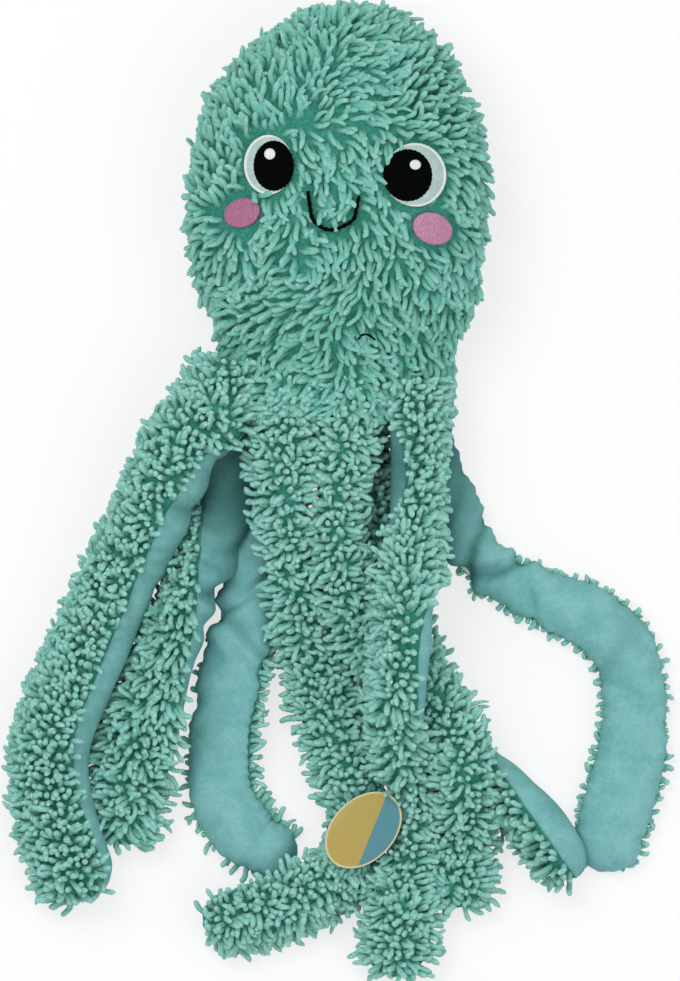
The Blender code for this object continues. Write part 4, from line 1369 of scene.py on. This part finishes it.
@dataclass
class Face:
    """The embroidered face: ovals, the rims of the eyes and two stitched lines.

    The smile's and the loose end's points are across and along as shares of the head's sizes. Stroke and
    loose_radius are half the lines' widths, smile_off and loose_off how far they stand off the head, and
    stitch the length of one rib.
    """

    head: Head
    stroke: float = 1.05 * MM
    smile_off: float = 4.2 * MM
    loose_radius: float = 0.6 * MM
    loose_off: float = 7.5 * MM
    stitch: float = 0.45 * MM
    rim_width: float = 0.8 * MM
    rim_height: float = 0.75 * MM
    rim_overlap: float = 0.3 * MM
    smile: tuple[tuple[float, float], ...] = (
        (-0.206, 0.500), (-0.198, 0.527), (-0.187, 0.555), (-0.174, 0.577), (-0.131, 0.594), (-0.084, 0.604),
        (-0.031, 0.605), (0.023, 0.598), (0.074, 0.588), (0.111, 0.574), (0.123, 0.552), (0.135, 0.527),
        (0.146, 0.514))
    loose: tuple[tuple[float, float], ...] = ((0.135, 0.891), (0.163, 0.878), (0.206, 0.878), (0.248, 0.892))

    def patches(self) -> list[Patch]:
        """Lists the embroidered ovals.

        Returns:
            The patches, from the eye cloths to the cheeks.
        """
        cloth, pupil, glint = Layer.CLOTH, Layer.PUPIL, Layer.GLINT
        return [
            Patch("left_eye_cloth", "left_eye_patch", cloth, Finish.EYE, "eye_white", (2.2 * MM, -1.6 * MM),
                  (-1.2 * MM, -1.5 * MM)),
            Patch("right_eye_cloth", "right_eye_patch", cloth, Finish.EYE, "eye_white", (-2.6 * MM, -0.6 * MM),
                  (-0.7 * MM, -0.4 * MM)),
            Patch("left_pupil_stitch", "left_pupil", pupil, Finish.BLACK, "black_thread", (2.5 * MM, -1.5 * MM)),
            Patch("right_pupil_stitch", "right_pupil", pupil, Finish.BLACK, "black_thread", (-3.7 * MM, -1.3 * MM),
                  (0.0, 0.5 * MM)),
            Patch("left_glint_stitch", "left_glint", glint, Finish.RIM, "white_thread", (2.3 * MM, -1.2 * MM),
                  sides=48),
            Patch("right_glint_stitch", "right_glint", glint, Finish.RIM, "white_thread", (-3.7 * MM, -0.9 * MM),
                  sides=48),
            # the left cheek takes the pink thread with painted shade
            Patch("left_cheek_stitch", "left_cheek", cloth, Finish.ROSE, "pink_thread", (1.1 * MM, -0.9 * MM),
                  (-0.8 * MM, -0.4 * MM), 20),
            Patch("right_cheek_stitch", "right_cheek", cloth, Finish.PINK, "pink_thread", (-1.3 * MM, 0.0),
                  (0.3 * MM, 0.2 * MM), -20),
        ]

    def clear_places(self) -> list[tuple[float, float, float, float]]:
        """Gives the ovals in plan that noodles stay out of.

        Returns:
            The middle and the half sizes of each.
        """
        out = []
        for patch in self.patches():
            if patch.layer is not Layer.GLINT:
                x, y, half_x, half_y = patch.extents()
                cheek = patch.slot == "pink_thread"
                aside = 1.3 * MM if patch.name.startswith("left") and not cheek else 0.0
                margin = (1.5 if cheek else 1.1) * MM
                out.append((x - aside, y + aside * 0.7, half_x + margin, half_y + margin))
        return out + [(x, y, 2.2 * MM, 2.2 * MM) for x, y in self.line(self.smile)[::3]]

    def line(self, shares: Sequence[tuple[float, float]]) -> Array:
        """Gives a stitched line's places in plan."""
        table = smooth_rows(shares, 6)
        return np.column_stack([self.head.centre_x + table[:, 0] * self.head.half_width,
                                self.head.top_y - table[:, 1] * self.head.length])

    def stitched(self, name: str, node: str, shares: Sequence[tuple[float, float]], radius: float,
                 off: float) -> bpy.types.Object:
        """Makes a stitched line: a bevelled curve laid on the head, turned to mesh and ribbed.

        Args:
            name: The piece's name.
            node: The frame's solid that it stands for.
            shares: The line's points.
            radius: Half its width.
            off: How far it stands off the head.

        Returns:
            The line.
        """
        plan = self.line(shares)
        run = travel(plan)
        even = np.linspace(0, run[-1], int(run[-1] / self.stitch))
        x, y = (np.interp(even, run, column) for column in plan.T)
        middle = self.head.on_front(x, y, np.full(len(even), off))
        curve = bpy.data.curves.new(name, "CURVE")
        curve.dimensions = "3D"
        curve.bevel_depth = radius
        curve.bevel_resolution = 2
        curve.use_fill_caps = True
        spline = curve.splines.new("POLY")
        spline.points.add(len(middle) - 1)
        for i, (point, place) in enumerate(zip(spline.points, middle)):
            point.co = (*place, 1)
            ragged = 1 + 0.2 * math.sin(i * 2.1) + 0.16 * math.sin(i * 0.83 + 1)
            point.radius = ragged * (0.6 if i in (0, len(middle) - 1) else 1)
        piece = bpy.data.objects.new(name, curve)
        bpy.context.scene.collection.objects.link(piece)
        deselect()
        piece.select_set(True)
        bpy.context.view_layer.objects.active = piece
        bpy.ops.object.convert(target="MESH")
        piece = bpy.context.object
        piece.data.shade_smooth()
        piece.data.materials.clear()
        piece.data.materials.append(Finish.BLACK.material())
        outward(piece, 0.01 * MM)
        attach(piece, "root")
        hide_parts(node)
        return piece

    def rim(self, name: str, patch: Patch, outer: float) -> bpy.types.Object:
        """Makes the white satin rim of an eye patch: a torus laid on the head, full on the outer side only.

        Args:
            name: The piece's name.
            patch: The eye patch that it goes round.
            outer: Direction of the outer side, in degrees from the right.

        Returns:
            The rim.
        """
        x, y, half_x, half_y = patch.extents()
        deselect()
        tube = 0.1
        bpy.ops.mesh.primitive_torus_add(major_segments=200, minor_segments=8, major_radius=1.0, minor_radius=tube)
        piece = bpy.context.object
        piece.name = name
        ring = np.array([vert.co for vert in piece.data.vertices], float)
        turn = np.arctan2(ring[:, 1], ring[:, 0])
        out = (np.linalg.norm(ring[:, :2], axis=1) - 1) / tube
        full = 0.25 + 0.75 * np.clip(np.cos(turn - math.radians(outer)) * 1.6 + 0.9, 0, 1)
        width = self.rim_width * full * (1 + 0.16 * np.sin(turn * 100))
        px = x + np.cos(turn) * (half_x - self.rim_overlap + out * width)
        py = y + np.sin(turn) * (half_y - self.rim_overlap + out * width)
        over = patch.layer.value + self.rim_overlap + ring[:, 2] / tube * self.rim_height * full
        places = self.head.on_front(px, py, over)
        piece.data.vertices.foreach_set("co", places.astype(np.float32).ravel())
        piece.data.shade_smooth()
        piece.data.materials.append(Finish.RIM.material())
        outward(piece)
        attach(piece, "root")
        return piece

    def build(self) -> list[bpy.types.Object]:
        """Makes every part of the face.

        Returns:
            The new pieces.
        """
        patches = self.patches()
        made = [patch.build(self.head) for patch in patches]
        made.append(self.rim("left_eye_rim", patches[0], 180))
        made.append(self.rim("right_eye_rim", patches[1], 10))
        made.append(self.stitched("smile_stitch", "smile", self.smile, self.stroke, self.smile_off))
        made.append(self.stitched("loose_thread_end", "loose_thread", self.loose, self.loose_radius,
                                  self.loose_off))
        return made


# Sticker

@dataclass
class Sticker:
    """The oval paper sticker that lies on the bend of a tentacle, with its edges a little curled.

    Noodles within press of its outline lie down under it, and those within clear are combed away from it.
    """

    length: float = 50 * MM
    width: float = 35 * MM
    turn: float = 45.0
    centre: tuple[float, float, float] = (9.9 * MM, -188.2 * MM, 31.5 * MM)
    curl: float = 1.4 * MM
    thickness: float = 0.25 * MM
    press: float = 3 * MM
    clear: float = 9 * MM
    insets: tuple[float, ...] = (0.015, 0.02, 0.02, 0.05, 0.09, 0.12, 0.14, 0.15, 0.15, 0.12)

    @classmethod
    def covers(cls, places: Array, margin: float) -> Array:
        """Says which places lie under the sticker in plan, or within a margin of it.

        Args:
            places: The places.
            margin: How far round the outline still counts.

        Returns:
            1 or 0 for each place.
        """
        turn = math.radians(cls.turn)
        off = places[:, :2] - cls.centre[:2]
        u = (off[:, 0] * math.cos(turn) + off[:, 1] * math.sin(turn)) / (cls.length / 2 + margin)
        v = (off[:, 1] * math.cos(turn) - off[:, 0] * math.sin(turn)) / (cls.width / 2 + margin)
        return (u * u + v * v < 1).astype(float)

    def build(self) -> bpy.types.Object:
        """Curls a disc and lays it on the noodles.

        Returns:
            The sticker, with the side of its two fields and the nearness to its edge stored on it.
        """
        flat, faces, edges = disc(120, self.insets)
        u, v = flat[:, 0] * self.length / 2, flat[:, 1] * self.width / 2
        turn = math.radians(self.turn)
        x, y = u * math.cos(turn) - v * math.sin(turn), u * math.sin(turn) + v * math.cos(turn)
        bend = -self.curl * flat[:, 1] ** 2 + 0.5 * self.curl * flat[:, 0] ** 2
        top = np.column_stack([x, y, bend]) + self.centre
        piece = two_sided("sticker_oval", top, top - (0, 0, self.thickness), faces, edges, Finish.PAPER)
        split = 0.5 + (0.39 * u - 0.92 * v - 4.8 * MM) / (1.5 * MM)
        set_values(piece, "field", np.tile(split, 2))
        set_values(piece, "edge", np.tile(np.linalg.norm(flat, axis=1), 2))
        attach(piece, "foot")
        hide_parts("sticker")
        return piece


# Inside and stage

def dress_hidden() -> None:
    """Gives the frame's own inner pieces their materials."""
    finishes = {"head_stuffing": Finish.FIBRE, "neck_stuffing": Finish.FIBRE, "squeaker_bulb": Finish.PLASTIC,
                "squeaker_reed": Finish.PLASTIC, "base_disc": Finish.CLOTH}
    finishes |= {name: Finish.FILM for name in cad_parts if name.endswith("_film")}
    for name, finish in finishes.items():
        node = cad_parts[name]
        if not node.data.materials:
            node.data.materials.append(None)
        for slot in node.material_slots:
            slot.material = finish.material()


@dataclass
class Studio:
    """A white floor, soft light from above and the camera straight over the toy.

    Pixel is the size of one pixel of the picture at the height middle, and aim the place that the camera
    stands over.
    """

    pixel: float = 0.56 * MM
    image_height: int = 981
    distance: float = 10.0
    middle: float = 50 * MM
    aim: tuple[float, float] = (-3.2 * MM, 2.3 * MM)
    sensor: float = 36.0
    floor_size: float = 6.0
    floor_glow: float = 1.02
    floor_seen: float = 0.68
    surround: float = 0.53
    lamps: tuple[tuple[str, tuple[float, float, float], float, float], ...] = (
        ("key", (-0.6, 0.7, 2.1), 1.2, 20), ("fill", (0.9, -0.5, 1.9), 1.6, 9))

    def floor(self) -> None:
        """Lays the floor, which glows white where the camera, or metal or glass, looks at it."""
        deselect()
        bpy.ops.mesh.primitive_plane_add(size=self.floor_size, location=(0, 0, 0))
        plane = bpy.context.object
        plane.name = "floor"
        graph = Graph("white_floor")
        material = graph.finish(srgb(250, 250, 250), 0.9, None, {"Specular IOR Level": 0.0})
        glow = graph.node("ShaderNodeEmission", {}, {"Color": (1.0, 1.0, 1.0), "Strength": self.floor_glow},
                          "Emission")
        seen = graph.node("ShaderNodeLightPath", output="Is Camera Ray")
        path = seen.socket.node
        for ray in ("Is Glossy Ray", "Is Transmission Ray"):
            seen = seen + Wire(graph, path.outputs[ray])
        mixed = graph.node("ShaderNodeMixShader", {}, {0: seen * self.floor_seen,
                                                       1: Wire(graph, graph.shader.outputs[0]), 2: glow})
        graph.links.new(mixed.socket, graph.nodes["Material Output"].inputs["Surface"])
        plane.data.materials.append(material)

    def light(self, name: str, place: tuple[float, float, float], size: float, power: float) -> None:
        """Hangs one soft square lamp that looks at the toy and stays out of the picture.

        Args:
            name: The lamp's name.
            place: Where it hangs.
            size: Its side in metres.
            power: Its power in watts.
        """
        data = bpy.data.lights.new(name, "AREA")
        data.size = size
        data.energy = power
        lamp = bpy.data.objects.new(name, data)
        lamp.location = place
        lamp.rotation_euler = (-Vector(place)).to_track_quat("-Z", "Y").to_euler()
        lamp.visible_camera = False
        bpy.context.scene.collection.objects.link(lamp)

    def world(self) -> None:
        """Sets an even pale surround."""
        world = bpy.data.worlds.new("surround")
        bpy.context.scene.world = world
        world.use_nodes = True
        background = world.node_tree.nodes["Background"]
        background.inputs["Color"].default_value = (1, 1, 1, 1)
        background.inputs["Strength"].default_value = self.surround

    def camera(self) -> None:
        """Places the camera over the toy, with the top of the head up in the picture."""
        data = bpy.data.cameras.new("camera")
        data.sensor_width = self.sensor
        data.lens = self.sensor * (self.distance - self.middle) / (self.image_height * self.pixel)
        camera = bpy.data.objects.new("camera", data)
        camera.location = (self.aim[0], self.aim[1], self.distance)
        bpy.context.scene.collection.objects.link(camera)
        bpy.context.scene.camera = camera

    def build(self) -> None:
        """Sets the whole stage."""
        self.floor()
        for lamp in self.lamps:
            self.light(*lamp)
        self.world()
        self.camera()
        bpy.context.scene.view_settings.view_transform = "Standard"


def main() -> None:
    """Builds the toy and its stage in order."""
    logging.basicConfig(level=logging.INFO, format="%(message)s")
    pile = Pile(Noodle().model())
    head = Head(pile)
    face = Face(head)
    head.keep_clear.extend(face.clear_places())
    made = head.build() + face.build()
    for tentacle in TENTACLES:
        made += tentacle.build(pile)
    made.append(Sticker().build())
    dress_hidden()
    Studio().build()
    for piece in made:
        LOG.info("%s: %d faces", piece.name, len(piece.data.polygons))


if __name__ == "__main__":
    main()
